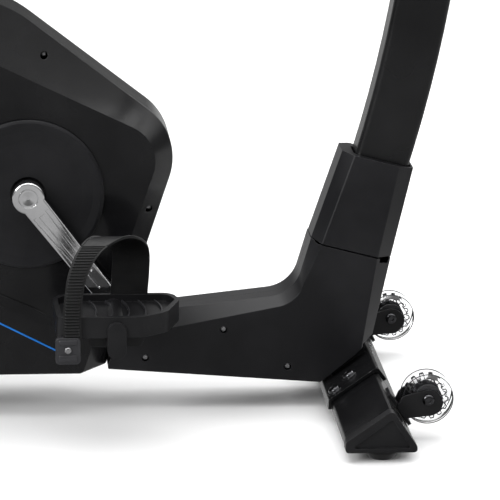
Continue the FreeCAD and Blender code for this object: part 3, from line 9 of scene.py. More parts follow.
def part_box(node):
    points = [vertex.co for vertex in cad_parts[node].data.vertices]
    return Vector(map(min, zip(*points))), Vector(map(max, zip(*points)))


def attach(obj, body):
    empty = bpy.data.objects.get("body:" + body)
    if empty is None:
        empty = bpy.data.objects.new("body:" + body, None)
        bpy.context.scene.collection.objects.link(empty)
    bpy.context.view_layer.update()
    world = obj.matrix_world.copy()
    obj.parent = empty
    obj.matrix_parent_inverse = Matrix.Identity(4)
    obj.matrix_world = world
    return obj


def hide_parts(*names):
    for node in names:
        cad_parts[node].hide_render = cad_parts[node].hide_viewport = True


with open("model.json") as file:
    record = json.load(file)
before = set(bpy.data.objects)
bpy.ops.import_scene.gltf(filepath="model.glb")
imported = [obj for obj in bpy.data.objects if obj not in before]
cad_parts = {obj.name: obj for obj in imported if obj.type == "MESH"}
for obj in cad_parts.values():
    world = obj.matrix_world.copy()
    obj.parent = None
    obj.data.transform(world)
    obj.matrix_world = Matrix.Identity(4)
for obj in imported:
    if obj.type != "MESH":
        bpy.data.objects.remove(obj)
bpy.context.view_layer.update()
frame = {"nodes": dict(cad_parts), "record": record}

RECORD = frame["record"]
NODES = frame["nodes"]
MM = 0.001


# ---------------------------------------------------------------- where things are

def low(node):
    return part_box(node)[0]


def high(node):
    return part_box(node)[1]


def joint(name):
    return [j for j in RECORD["behaviour"]["joints"] if j["name"] == name][0]


CRANK = Vector(joint("crank_spin")["pos_m"])
DATUM_X = CRANK.x            # positions along the machine are given from the crank axis


def at(x, y, z):
    """Millimetres from the crank axis (X), the middle plane (Y) and the floor (Z), as a row-frame point."""
    return Vector((DATUM_X + x * MM, y * MM, z * MM))


# Frame sizes, in millimetres from the crank axis, and degrees
FRONT_BEAM_X, REAR_BEAM_X = 420.0, -905.0
REAR_TUBE_END = -898
RAIL_REAR = (-1040, 0, 485)
RAIL_PITCH = 6.0
RAIL_LONG = 0.645            # metres


# ---------------------------------------------------------------- node materials

class Shader:
    """A small builder of node trees around one Principled shader."""

    def __init__(self, name):
        self.material = bpy.data.materials.new(name)
        self.material.use_nodes = True
        self.tree = self.material.node_tree
        self.tree.nodes.clear()
        self.shader = self.add("ShaderNodeBsdfPrincipled")
        out = self.add("ShaderNodeOutputMaterial")
        self.link(self.shader.outputs["BSDF"], out.inputs["Surface"])
        self.place = self.add("ShaderNodeTexCoord").outputs["Object"]

    def add(self, kind, **values):
        node = self.tree.nodes.new(kind)
        for key, value in values.items():
            setattr(node, key, value)
        return node

    def link(self, source, target):
        self.tree.links.new(source, target)

    def set(self, **values):
        for key, value in values.items():
            self.shader.inputs[key.replace("_", " ")].default_value = value

    def noise(self, scale, detail=3.0, rough=0.55, stretch=None):
        node = self.add("ShaderNodeTexNoise")
        node.inputs["Scale"].default_value = scale
        node.inputs["Detail"].default_value = detail
        node.inputs["Roughness"].default_value = rough
        self.link(self.stretched(stretch), node.inputs["Vector"])
        return node.outputs["Fac"]

    def stretched(self, stretch):
        if stretch is None:
            return self.place
        node = self.add("ShaderNodeMapping")
        node.inputs["Scale"].default_value = stretch
        self.link(self.place, node.inputs["Vector"])
        return node.outputs["Vector"]

    def cells(self, scale, feature="F1"):
        node = self.add("ShaderNodeTexVoronoi", feature=feature)
        node.inputs["Scale"].default_value = scale
        self.link(self.place, node.inputs["Vector"])
        return node.outputs["Distance"]

    def range(self, value, from_low, from_high, to_low, to_high):
        node = self.add("ShaderNodeMapRange", clamp=True)
        for slot, number in zip(range(1, 5), (from_low, from_high, to_low, to_high)):
            node.inputs[slot].default_value = number
        self.link(value, node.inputs[0])
        return node.outputs[0]

    def math(self, operation, first, second):
        node = self.add("ShaderNodeMath", operation=operation)
        for slot, value in ((0, first), (1, second)):
            if isinstance(value, (int, float)):
                node.inputs[slot].default_value = value
            else:
                self.link(value, node.inputs[slot])
        return node.outputs[0]

    def blend(self, factor, first, second):
        """Colour between first and second; each is an RGB triple or another blend's output."""
        node = self.add("ShaderNodeMix", data_type="RGBA")
        for slot, colour in ((6, first), (7, second)):
            if isinstance(colour, (tuple, list)):
                node.inputs[slot].default_value = (*colour, 1.0)
            else:
                self.link(colour, node.inputs[slot])
        self.link(factor, node.inputs[0])
        return node.outputs[2]

    def edges(self, radius):
        """Rounded shading normal, and a mask that is 1 along edges."""
        soft = self.add("ShaderNodeBevel", samples=6)
        soft.inputs["Radius"].default_value = radius
        true = self.add("ShaderNodeNewGeometry")
        dot = self.add("ShaderNodeVectorMath", operation="DOT_PRODUCT")
        self.link(soft.outputs["Normal"], dot.inputs[0])
        self.link(true.outputs["Normal"], dot.inputs[1])
        return soft.outputs["Normal"], self.range(dot.outputs["Value"], 0.995, 0.9, 0.0, 1.0)

    def bump(self, height, distance, strength=1.0, normal=None):
        node = self.add("ShaderNodeBump")
        node.inputs["Distance"].default_value = distance
        node.inputs["Strength"].default_value = strength
        self.link(height, node.inputs["Height"])
        if normal is not None:
            self.link(normal, node.inputs["Normal"])
        return node.outputs["Normal"]

    def finish(self, colour, rough, normal):
        if isinstance(colour, (tuple, list)):
            self.set(Base_Color=(*colour, 1.0))
        else:
            self.link(colour, self.shader.inputs["Base Color"])
        if isinstance(rough, float):
            self.set(Roughness=rough)
        else:
            self.link(rough, self.shader.inputs["Roughness"])
        self.link(normal, self.shader.inputs["Normal"])
        return self.material


def moulded(name, colour, rough, grain=0.00006, grain_scale=2600.0, edge=0.0012, wear=0.5, coat=0.0):
    """Moulded plastic: fine grain, faint blotches in colour and gloss, paler rubbed edges."""
    s = Shader(name)
    rounded, rim = s.edges(edge)
    blotch = s.noise(9.0, 4.0)
    speck = s.noise(420.0, 2.0)
    light = tuple(min(1.0, c * 1.5 + 0.004) for c in colour)
    rubbed = tuple(min(1.0, c * 2.2 + 0.02) for c in colour)
    tone = s.blend(s.range(blotch, 0.35, 0.7, 0.0, 1.0), colour, light)
    worn = s.math("MULTIPLY", rim, s.range(s.noise(60.0), 0.42, 0.62, 0.0, wear))
    tone = s.blend(worn, tone, rubbed)
    gloss = s.math("ADD", s.range(blotch, 0.3, 0.7, rough - 0.035, rough + 0.035),
                   s.range(speck, 0.3, 0.7, -0.02, 0.02))
    normal = s.bump(s.noise(grain_scale, 2.0), grain, 0.6, rounded)
    s.set(Specular_IOR_Level=0.22, IOR=1.5, Coat_Weight=coat, Coat_Roughness=0.12)
    return s.finish(tone, gloss, normal)


def powder_coat(name, colour, rough):
    """Painted steel: orange-peel bump and a few brighter chips along the edges."""
    s = Shader(name)
    rounded, rim = s.edges(0.001)
    peel = s.cells(900.0)
    blotch = s.noise(6.0, 3.0)
    tone = s.blend(s.range(blotch, 0.35, 0.7, 0.0, 1.0), colour, tuple(c * 1.6 + 0.004 for c in colour))
    chips = s.math("MULTIPLY", rim, s.range(s.noise(160.0, 4.0), 0.58, 0.66, 0.0, 0.7))
    tone = s.blend(chips, tone, (0.12, 0.12, 0.125))
    gloss = s.range(blotch, 0.3, 0.7, rough - 0.05, rough + 0.05)
    s.set(Specular_IOR_Level=0.3, Coat_Weight=0.05, Coat_Roughness=0.15)
    return s.finish(tone, gloss, s.bump(peel, 0.00012, 0.5, rounded))


def metal(name, colour, rough, streak=(1.0, 1.0, 1.0), depth=0.00002, scale=700.0):
    """Bare or plated metal with fine polishing marks and slight tarnish."""
    s = Shader(name)
    rounded, rim = s.edges(0.0008)
    marks = s.noise(scale, 4.0, 0.6, streak)
    blotch = s.noise(14.0, 4.0)
    dull = tuple(c * 0.82 for c in colour)
    tone = s.blend(s.range(blotch, 0.35, 0.75, 0.0, 1.0), colour, dull)
    gloss = s.math("ADD", s.range(marks, 0.3, 0.7, rough * 0.7, rough * 1.4),
                   s.range(rim, 0.0, 1.0, 0.0, 0.05))
    s.set(Metallic=1.0)
    return s.finish(tone, gloss, s.bump(marks, depth, 0.5, rounded))


def clear_plastic(name, colour, rough, weight, bend):
    """Cast polyurethane: clear, faintly tinted, with small ripples and dust; bend is its refractive index."""
    s = Shader(name)
    dust = s.noise(300.0, 3.0)
    blotch = s.noise(30.0, 2.0)
    tone = s.blend(s.range(blotch, 0.3, 0.7, 0.0, 1.0), colour, tuple(c * 0.93 for c in colour))
    s.set(Transmission_Weight=weight, IOR=bend, Specular_IOR_Level=0.5)
    return s.finish(tone, s.range(dust, 0.35, 0.7, rough, rough + 0.1), s.bump(blotch, 0.0004, 0.4))


def rubber(name, colour, rough, grain_scale=1500.0, depth=0.00012):
    s = Shader(name)
    rounded, rim = s.edges(0.0009)
    blotch = s.noise(12.0, 4.0)
    dusty = tuple(c * 1.9 + 0.0025 for c in colour)
    tone = s.blend(s.range(blotch, 0.35, 0.72, 0.0, 0.8), colour, dusty)
    tone = s.blend(s.math("MULTIPLY", rim, 0.35), tone, dusty)
    gloss = s.range(s.noise(90.0), 0.3, 0.7, rough - 0.07, rough + 0.07)
    s.set(Specular_IOR_Level=0.4)
    return s.finish(tone, gloss, s.bump(s.noise(grain_scale, 3.0), depth, 0.7, rounded))


def foam(name, colour):
    """Closed-cell foam grip: pitted, matt, faintly polished by hands."""
    s = Shader(name)
    pits = s.cells(1100.0)
    blotch = s.noise(25.0, 4.0)
    tone = s.blend(s.range(blotch, 0.35, 0.7, 0.0, 1.0), colour, tuple(c * 1.8 + 0.006 for c in colour))
    s.set(Specular_IOR_Level=0.3, Sheen_Weight=0.15, Sheen_Roughness=0.6)
    return s.finish(tone, s.range(blotch, 0.3, 0.7, 0.95, 0.72), s.bump(pits, 0.0004, 0.8))


def leatherette(name, colour):
    """Embossed coated fabric: pebble grain with creases between, softly glossy where rubbed."""
    s = Shader(name)
    pebble = s.cells(420.0, "SMOOTH_F1")
    crease = s.add("ShaderNodeTexVoronoi", feature="DISTANCE_TO_EDGE")
    crease.inputs["Scale"].default_value = 300.0
    s.link(s.place, crease.inputs["Vector"])
    height = s.math("ADD", s.range(crease.outputs["Distance"], 0.0, 0.12, 0.0, 0.7),
                    s.math("MULTIPLY", pebble, -0.35))
    blotch = s.noise(7.0, 4.0)
    tone = s.blend(s.range(blotch, 0.35, 0.7, 0.0, 1.0), colour, tuple(c * 1.6 + 0.005 for c in colour))
    gloss = s.math("ADD", s.range(blotch, 0.3, 0.7, 0.5, 0.38), s.range(pebble, 0.0, 0.8, 0.0, 0.08))
    s.set(Specular_IOR_Level=0.45, Sheen_Weight=0.1, Sheen_Roughness=0.45)
    return s.finish(tone, gloss, s.bump(height, 0.00028, 0.7))


def display_glass(name):
    s = Shader(name)
    smear = s.noise(40.0, 4.0)
    tone = s.blend(s.range(smear, 0.4, 0.7, 0.0, 1.0), (0.022, 0.028, 0.03), (0.034, 0.04, 0.043))
    s.set(Specular_IOR_Level=0.6, Coat_Weight=1.0, Coat_Roughness=0.03)
    return s.finish(tone, s.range(smear, 0.3, 0.7, 0.05, 0.14), s.bump(smear, 0.00002, 0.3))


MATERIALS = {
    "housing_plastic": moulded("housing_plastic", (0.0032, 0.0032, 0.0036), 0.2, 0.000004, 1800.0, coat=0.08),
    "cover_plastic": moulded("cover_plastic", (0.0075, 0.0075, 0.0085), 0.34, 0.00003, 2200.0),
    "dark_plastic": moulded("dark_plastic", (0.0065, 0.0065, 0.0072), 0.38, 0.00006, 1700.0),
    "accent_blue": moulded("accent_blue", (0.003, 0.1, 0.36), 0.3, 0.00002, 1500.0, 0.0003, 0.1),
    "black_steel": powder_coat("black_steel", (0.0032, 0.0032, 0.0036), 0.26),
    "chrome": metal("chrome", (0.96, 0.96, 0.97), 0.16),
    "bright_steel": metal("bright_steel", (0.52, 0.52, 0.53), 0.24, (1.0, 12.0, 1.0), 0.00004, 300.0),
    "cast_iron": metal("cast_iron", (0.2, 0.2, 0.21), 0.42, (1.0, 1.0, 1.0), 0.0001, 900.0),
    "rail_aluminium": metal("rail_aluminium", (0.62, 0.63, 0.65), 0.3, (1.0, 30.0, 30.0), 0.00003, 60.0),
    "black_rubber": rubber("black_rubber", (0.0022, 0.0022, 0.0024), 0.5),
    "clear_tyre": clear_plastic("clear_tyre", (0.97, 0.975, 0.98), 0.02, 1.0, 1.05),
    "clear_core": clear_plastic("clear_core", (0.95, 0.955, 0.96), 0.02, 1.0, 1.015),
    "foam_grip": foam("foam_grip", (0.014, 0.014, 0.015)),
    "upholstery": leatherette("upholstery", (0.013, 0.013, 0.0145)),
    "screen_glass": display_glass("screen_glass"),
    "button_grey": moulded("button_grey", (0.16, 0.165, 0.17), 0.4, 0.00006, 1700.0, 0.0008, 0.2),
}
DARK_MARK = moulded("wheel_ink", (0.02, 0.02, 0.022), 0.3, 0.00001, 1500.0, 0.0004, 0.2)
BOLT_BLACK = metal("bolt_black", (0.09, 0.09, 0.095), 0.2, (1.0, 1.0, 1.0), 0.00003, 900.0)
THREAD = rubber("seam_thread", (0.03, 0.03, 0.032), 0.7, 3000.0, 0.0002)
LCD_INK = moulded("lcd_ink", (0.55, 0.6, 0.6), 0.5, 0.00002, 1500.0, 0.0002, 0.0)
PALE_MARK = moulded("pale_mark", (0.55, 0.56, 0.57), 0.5, 0.00002, 1500.0, 0.0002, 0.0)

for entry in RECORD["subparts"]:
    mesh = NODES[entry["node"]].data
    mesh.materials.clear()
    mesh.materials.append(MATERIALS[entry["material_slot"]])


# ---------------------------------------------------------------- mesh helpers

def new_object(name, verts, faces, slot, body, material=None, smooth=35.0):
    """Mesh piece in the row frame that rides on a body; smooth is the angle above which edges stay sharp."""
    mesh = bpy.data.meshes.new(name)
    mesh.from_pydata([tuple(v) for v in verts], [], faces)
    mesh.validate()
    obj = bpy.data.objects.new(name, mesh)
    bpy.context.scene.collection.objects.link(obj)
    bm = bmesh.new()
    bm.from_mesh(mesh)
    bmesh.ops.recalc_face_normals(bm, faces=bm.faces)
    limit = math.radians(smooth)
    for edge in bm.edges:
        edge.smooth = len(edge.link_faces) == 2 and edge.calc_face_angle(0.0) < limit
    for face in bm.faces:
        face.smooth = True
    bm.to_mesh(mesh)
    bm.free()
    mesh.materials.append(material or MATERIALS[slot])
    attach(obj, body)
    return obj


def loft_rings(rings, closed_path=False):
    """Vertices and faces of a skin over equal rings; the two ends are capped unless the path closes."""
    count = len(rings[0])
    verts = [v for ring in rings for v in ring]
    faces = []
    total = len(rings)
    for i in range(total if closed_path else total - 1):
        nxt = (i + 1) % total
        for j in range(count):
            k = (j + 1) % count
            faces.append((i * count + j, i * count + k, nxt * count + k, nxt * count + j))
    if not closed_path:
        faces.append(tuple(reversed(range(count))))
        faces.append(tuple((total - 1) * count + j for j in range(count)))
    return verts, faces


def merged(parts):
    """One vertex and face list from several."""
    verts, faces = [], []
    for more, their_faces in parts:
        base = len(verts)
        verts += list(more)
        faces += [tuple(i + base for i in face) for face in their_faces]
    return verts, faces


def basis(axis):
    """Two unit vectors square to axis."""
    axis = Vector(axis).normalized()
    other = Vector((0, 0, 1)) if abs(axis.z) < 0.9 else Vector((1, 0, 0))
    first = axis.cross(other).normalized()
    return first, axis.cross(first).normalized()


def lathe(origin, axis, profile, segments=48):
    """Skin of (radius, along) pairs in millimetres turned about axis through origin."""
    side, up = basis(axis)
    along = Vector(axis).normalized()
    rings = []
    for radius, height in profile:
        rings.append([origin + along * height * MM + (side * math.cos(a) + up * math.sin(a)) * radius * MM
                      for a in (2 * math.pi * i / segments for i in range(segments))])
    return loft_rings(rings)


def curve_points(controls, steps):
    """Catmull-Rom points through tuples of any length, with the fraction along the whole run."""
    out = []
    last = len(controls) - 1
    for i in range(last):
        p = [controls[max(0, min(last, i + k))] for k in (-1, 0, 1, 2)]
        for step in range(steps):
            t = step / steps
            out.append(tuple(0.5 * (2 * b + (c - a) * t + (2 * a - 5 * b + 4 * c - d) * t * t
                                    + (3 * b - a - 3 * c + d) * t ** 3)
                             for a, b, c, d in zip(*p)))
    out.append(tuple(controls[-1]))
    return out


def rounded_ring(origin, side, up, wide, tall, radius, corner_steps=4):
    """Rounded rectangle of points round origin, in the plane of side and up; sizes in metres."""
    radius = min(radius, wide / 2 * 0.999, tall / 2 * 0.999)
    ring = []
    for sx, sy, start in ((1, 1, 0), (-1, 1, 90), (-1, -1, 180), (1, -1, 270)):
        for step in range(corner_steps + 1):
            angle = math.radians(start + 90 * step / corner_steps)
            x = sx * (wide / 2 - radius) + radius * math.cos(angle)
            y = sy * (tall / 2 - radius) + radius * math.sin(angle)
            ring.append(origin + side * x + up * y)
    return ring


def slab(origin, side, up, out, wide, tall, thick, radius, crown=0.0):
    """Rounded plate standing on origin towards out, its outer edge bevelled."""
    edge = min(0.0008, thick * 0.45)
    rings = [rounded_ring(origin, side, up, wide, tall, radius),
             rounded_ring(origin + out * (thick - edge), side, up, wide, tall, radius),
             rounded_ring(origin + out * (thick - edge * 0.3), side, up, wide - edge * 1.4,
                          tall - edge * 1.4, radius),
             rounded_ring(origin + out * thick, side, up, wide - edge * 3, tall - edge * 3, radius)]
    if crown:
        rings.append(rounded_ring(origin + out * (thick + crown), side, up, wide * 0.55, tall * 0.55,
                                  radius * 0.6))
    return loft_rings(rings)


# ---------------------------------------------------------------- pedals and straps

# along X, across from the middle plane, height over the pedal axis, width, all in millimetres
STRAP = ((-52, 218.4, -26, 22), (-54, 219.0, 12, 22), (-52, 217.0, 44, 22), (-46, 211.0, 72, 24),
         (-32, 197.0, 94, 30), (-10, 172.0, 103, 42), (9, 146.0, 94, 46), (20, 126.0, 76, 46),
         (21, 118.6, 48, 46), (18, 117.6, 8, 46))
RIB_PITCH = 3.7
RIBBED_SHARE = 0.47


def resampled(points, step):
    """Points of a polyline at an even step, each with its share of the whole length."""
    spans = [(Vector(b[:3]) - Vector(a[:3])).length for a, b in zip(points, points[1:])]
    whole = sum(spans)
    count = int(whole / step)
    out, index, covered = [], 0, 0.0
    for i in range(count + 1):
        target = whole * i / count
        while index < len(spans) - 1 and covered + spans[index] < target:
            covered += spans[index]
            index += 1
        t = min(1.0, (target - covered) / spans[index])
        out.append((tuple(a + (b - a) * t for a, b in zip(points[index], points[index + 1])), i / count))
    return out


def strap_mesh(origin, sign):
    path = resampled(curve_points(STRAP, 24), RIB_PITCH / 4)
    across = Vector((1, 0, 0))
    rings = []
    for i, ((x, y, z, wide), share) in enumerate(path):
        spot = Vector((x, -y * sign, z))
        before, after = path[max(i - 2, 0)][0], path[min(i + 2, len(path) - 1)][0]
        run = Vector((0, -(after[1] - before[1]) * sign, after[2] - before[2])).normalized()
        out = run.cross(across)
        if out.dot(Vector((0, -sign * (0.5 - share), 0.35))) < 0:
            out = -out
        ribbed = share < RIBBED_SHARE
        ridge = (3.9 if i % 4 < 2 else 2.5) if ribbed else 2.5
        bead = 2.5 if ribbed else 3.6
        edge = wide / 2
        if share > 0.97:
            edge -= (share - 0.97) / 0.03 * 5
        profile = ((-edge, 0.0), (-edge, bead), (-edge + 2.2, bead), (-edge + 2.8, ridge),
                   (edge - 2.8, ridge), (edge - 2.2, bead), (edge, bead), (edge, 0.0))
        rings.append([origin + (spot + across * u + out * v) * MM for u, v in profile])
    return loft_rings(rings)


def pedal_details(name, sign, body):
    origin = Vector(joint("pedal_%s_spin" % name)["pos_m"])
    origin.y = 0.0
    strap = new_object("strap_band_" + name, *strap_mesh(origin, sign), "black_rubber", body, smooth=30)
    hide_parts("pedal_strap_" + name)
    outward = Vector((0, -sign, 0))
    along, up = Vector((1, 0, 0)), Vector((0, 0, 1))

    def spot(x, across, z):
        return origin + Vector((x, -across * sign, z)) * MM

    ribs = []
    for x in (-50, -30, -10, 10, 30, 50):
        rings = []
        steps = 16
        for i in range(steps + 1):
            t = i / steps
            bow = 7.0 * (1 - (2 * t - 1) ** 2)
            foot = spot(x + bow, 122 + 84 * t - (10 if x > 40 else 0) * t, 8.8)
            rings.append([foot + along * -0.0011, foot + along * -0.0007 + up * 0.0034,
                          foot + along * 0.0007 + up * 0.0034, foot + along * 0.0011])
        ribs.append(loft_rings(rings))
    new_object("pedal_ribs_" + name, *merged(ribs), "dark_plastic", body, DARK_MARK)
    buckle = [slab(spot(-59, 216.0, -22), along, up, outward, 0.030, 0.033, 0.0072, 0.005),
              slab(spot(-59, 223.0, -11), along, up, outward, 0.022, 0.006, 0.0022, 0.002),
              slab(spot(-59, 223.0, -31), along, up, outward, 0.022, 0.008, 0.0022, 0.002)]
    new_object("strap_buckle_" + name, *merged(buckle), "dark_plastic", body, DARK_MARK)
    rivet = lathe(spot(-59, 223.1, -21), outward, [(4.2, 0), (4.2, 1.0), (3.4, 1.9), (1.2, 2.3)], 24)
    new_object("strap_rivet_" + name, *rivet, "bright_steel", body)


for side_name, side_sign, side_body in (("right", 1.0, "pedal_r"), ("left", -1.0, "pedal_l")):
    pedal_details(side_name, side_sign, side_body)


# ---------------------------------------------------------------- bolts, plugs and small trim

def bolt_head(origin, axis, radius, tall, socket):
    """Low domed head with a six-sided socket."""
    side, up = basis(axis)
    along = Vector(axis).normalized()
    profile = [(radius, 0.0), (radius, tall * 0.35), (radius * 0.93, tall * 0.68),
               (radius * 0.72, tall * 0.94),
               (socket * 1.22, tall)]
    steps = 36
    rings = [[origin + along * h * MM + (side * math.cos(a) + up * math.sin(a)) * r * MM
              for a in (2 * math.pi * i / steps for i in range(steps))] for r, h in profile]
    for depth in (tall, tall * 0.35):
        ring = []
        for i in range(steps):
            a = 2 * math.pi * i / steps
            reach = socket / math.cos((a % (math.pi / 3)) - math.pi / 6)
            ring.append(origin + along * depth * MM + (side * math.cos(a) + up * math.sin(a)) * reach * MM)
        rings.append(ring)
    return loft_rings(rings)


def bolts():
    parts = []
    slope = math.radians(35.3)
    spots = [(along, side * y, height) for along, y, height in ((-17.0, 76.0, 50.0), (-37.0, 93.0, 35.9))
             for side in (1.0, -1.0)]
    for x, flip in ((FRONT_BEAM_X, 1.0), (REAR_BEAM_X, -1.0)):
        axis = Vector((-flip * math.sin(slope), 0, math.cos(slope)))
        for along, y, height in spots:
            foot = at(x + along * flip, y, height)
            parts.append(lathe(foot, axis, [(9.6, 0.0), (9.6, 1.0), (9.2, 1.3), (3.0, 1.3)], 36))
            parts.append(bolt_head(foot + axis * 0.0012, axis, 7.4, 4.6, 2.7))
    wheel = Vector(joint("roller_right_spin")["pos_m"])
    for y in (-175.0, 175.0):
        parts.append(lathe(Vector((wheel.x, (y - 16) * MM, wheel.z)), (0, 1, 0), [(3.98, 0), (3.98, 32)], 24))
        for sign in (-1.0, 1.0):
            face = Vector((wheel.x, (y + sign * 16.1) * MM, wheel.z))
            parts.append(bolt_head(face, (0, sign, 0), 7.5, 4.0, 2.9))
    obj = new_object("bolt_heads", *merged(parts), "bright_steel", "frame", BOLT_BLACK)
    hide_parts("frame_bolts")


def wheel_marks():
    """Dark hub and toothed outlines moulded into both faces of each clear transport wheel."""
    teeth, steps = 14, 12
    for name, y, body in (("right", -175.0, "roller_r"), ("left", 175.0, "roller_l")):
        wheel = Vector(joint("roller_%s_spin" % name)["pos_m"])
        parts = [lathe(Vector((wheel.x, (y - 11.4) * MM, wheel.z)), (0, 1, 0),
                       [(4.2, 0), (16.0, 0), (17.8, 1.2), (17.8, 3.0), (9.0, 5.0), (9.0, 17.8),
                        (17.8, 19.8), (17.8, 21.6),
                        (16.0, 22.8), (4.2, 22.8)])]
        for face in (-1.0, 1.0):
            middle = Vector((wheel.x, (y + face * 11.7) * MM, wheel.z))
            for low_rad, rise, half in ((21.4, 3.6, 0.6), (31.2, 0.0, 0.45)):
                path = []
                for i in range(teeth * steps):
                    flank = 8.0 * (abs((i % steps) / steps - 0.5) - 0.1875)
                    radius = low_rad + rise * min(1.0, max(0.0, flank))
                    turn = 2 * math.pi * i / (teeth * steps)
                    path.append(middle + Vector((math.cos(turn), 0, math.sin(turn))) * radius * MM)
                rings = []
                for i, point in enumerate(path):
                    along = (path[(i + 1) % len(path)] - path[i - 1]).normalized()
                    across = Vector((along.z, 0, -along.x)) * half * MM
                    rings.append([point + across * a + Vector((0, face * b * 0.5 * MM, 0))
                                  for a, b in ((-1, -1), (1, -1), (1, 1), (-1, 1))])
                parts.append(loft_rings(rings, True))
        new_object("wheel_marks_" + name, *merged(parts), "dark_plastic", body, DARK_MARK)


def end_plugs():
    """Domed plugs that close the bar ends, the rail and the frame tube."""
    grips, seat_plugs = [], []
    bar_pitch, side_pitch = math.radians(12.0), math.radians(32.5)
    dome = [(16.6, -0.4), (16.8, 1.6), (15.2, 3.8), (10.5, 5.4), (4.0, 6.0), (0.6, 6.1)]
    for y in (-225.0, 225.0):
        end = at(443.1 - 193 * math.cos(bar_pitch), y, 1060 + 193 * math.sin(bar_pitch))
        grips.append(lathe(end, (-math.cos(bar_pitch), 0, math.sin(bar_pitch)), dome))
    for y in (-262.0, 262.0):
        end = at(-880 + 271 * math.cos(side_pitch), y, 514 + 271 * math.sin(side_pitch))
        seat_plugs.append(lathe(end, (math.cos(side_pitch), 0, math.sin(side_pitch)), dome))
    new_object("handlebar_plugs", *merged(grips), "dark_plastic", "frame", smooth=50)
    new_object("side_handle_plugs", *merged(seat_plugs), "dark_plastic", "seat", smooth=50)
    pitch = math.radians(RAIL_PITCH)
    along = Vector((math.cos(pitch), 0, -math.sin(pitch)))
    up = Vector((math.sin(pitch), 0, math.cos(pitch)))
    across = Vector((0, 1, 0))
    rear = at(*RAIL_REAR)
    caps = [slab(rear, across, up, -along, 0.071, 0.046, 0.0035, 0.006),
            slab(rear + along * RAIL_LONG, across, up, along, 0.071, 0.046, 0.0035, 0.006)]
    caps.append(slab(at(REAR_TUBE_END, 0, 90), across, Vector((0, 0, 1)), Vector((-1, 0, 0)),
                     0.050, 0.044, 0.003, 0.004))
    new_object("tube_end_caps", *merged(caps), "dark_plastic", "frame")


def rail_marks():
    """Evenly spaced position lines on both sides of the seat rail."""
    pitch = math.radians(RAIL_PITCH)
    along = Vector((math.cos(pitch), 0, -math.sin(pitch)))
    up = Vector((math.sin(pitch), 0, math.cos(pitch)))
    rear = at(*RAIL_REAR)
    marks = []
    for side in (-1, 1):
        for i in range(13):
            tall = 0.013 if i % 3 == 0 else 0.008
            foot = rear + along * (0.5 + i * 0.011) + up * -0.006 + Vector((0, side * 0.0350, 0))
            marks.append(slab(foot, along, up, Vector((0, side, 0)), 0.0012, tall, 0.0003, 0.0004))
    new_object("rail_marks", *merged(marks), "dark_plastic", "frame")


def housing_trim():
    """Raised moulded band above the coloured line on each lower side of the housing."""
    def upper(x):
        return 163 - 0.4375 * (x + 35)

    def lower(x):
        return 145 - 0.469 * (x + 35)

    for name, sign in (("right", -1.0), ("left", 1.0)):
        out = Vector((0, sign, 0))
        rings = []
        steps = 24
        for i in range(steps + 1):
            x = -302 + 336 * i / steps
            taper = min(1.0, i / 1.5, (steps - i) / 1.5)
            top, bottom = upper(x), lower(x)
            middle = (top + bottom) / 2
            half = (top - bottom) / 2 * (0.35 + 0.65 * taper)
            rows = ((half, 0.0), (half - 1.6, 2.6 * taper + 0.1), (-half + 5.0, 0.9 * taper + 0.1),
                    (-half, 0.0))
            rings.append([at(x, sign * 71.9, middle + dz) + out * h * MM for dz, h in rows])
        new_object("housing_trim_" + name, *loft_rings(rings), "housing_plastic", "frame")


def accent_lines():
    """Thin inlaid coloured line along each lower side of the housing."""
    start, end = low("accent_stripes"), high("accent_stripes")
    half = 0.0013
    parts = []
    for side in (start.y, end.y):
        sign = math.copysign(1.0, side)
        rings = []
        steps = 24
        for i in range(steps + 1):
            share = i / steps
            x = start.x + (end.x - start.x) * share
            z = (end.z - 0.003) * (1 - share) + (start.z + 0.003) * share
            rings.append([Vector((x, side - sign * inset, z + dz))
                          for dz, inset in ((half, 0.0007), (half - 0.0003, 0.0), (-half + 0.0003, 0.0),
                                            (-half, 0.0007))])
        parts.append(loft_rings(rings))
    obj = new_object("accent_lines", *merged(parts), "accent_blue", "frame")
    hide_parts("accent_stripes")


accent_lines()
bolts()
wheel_marks()
end_plugs()
rail_marks()
housing_trim()


# ---------------------------------------------------------------- console face

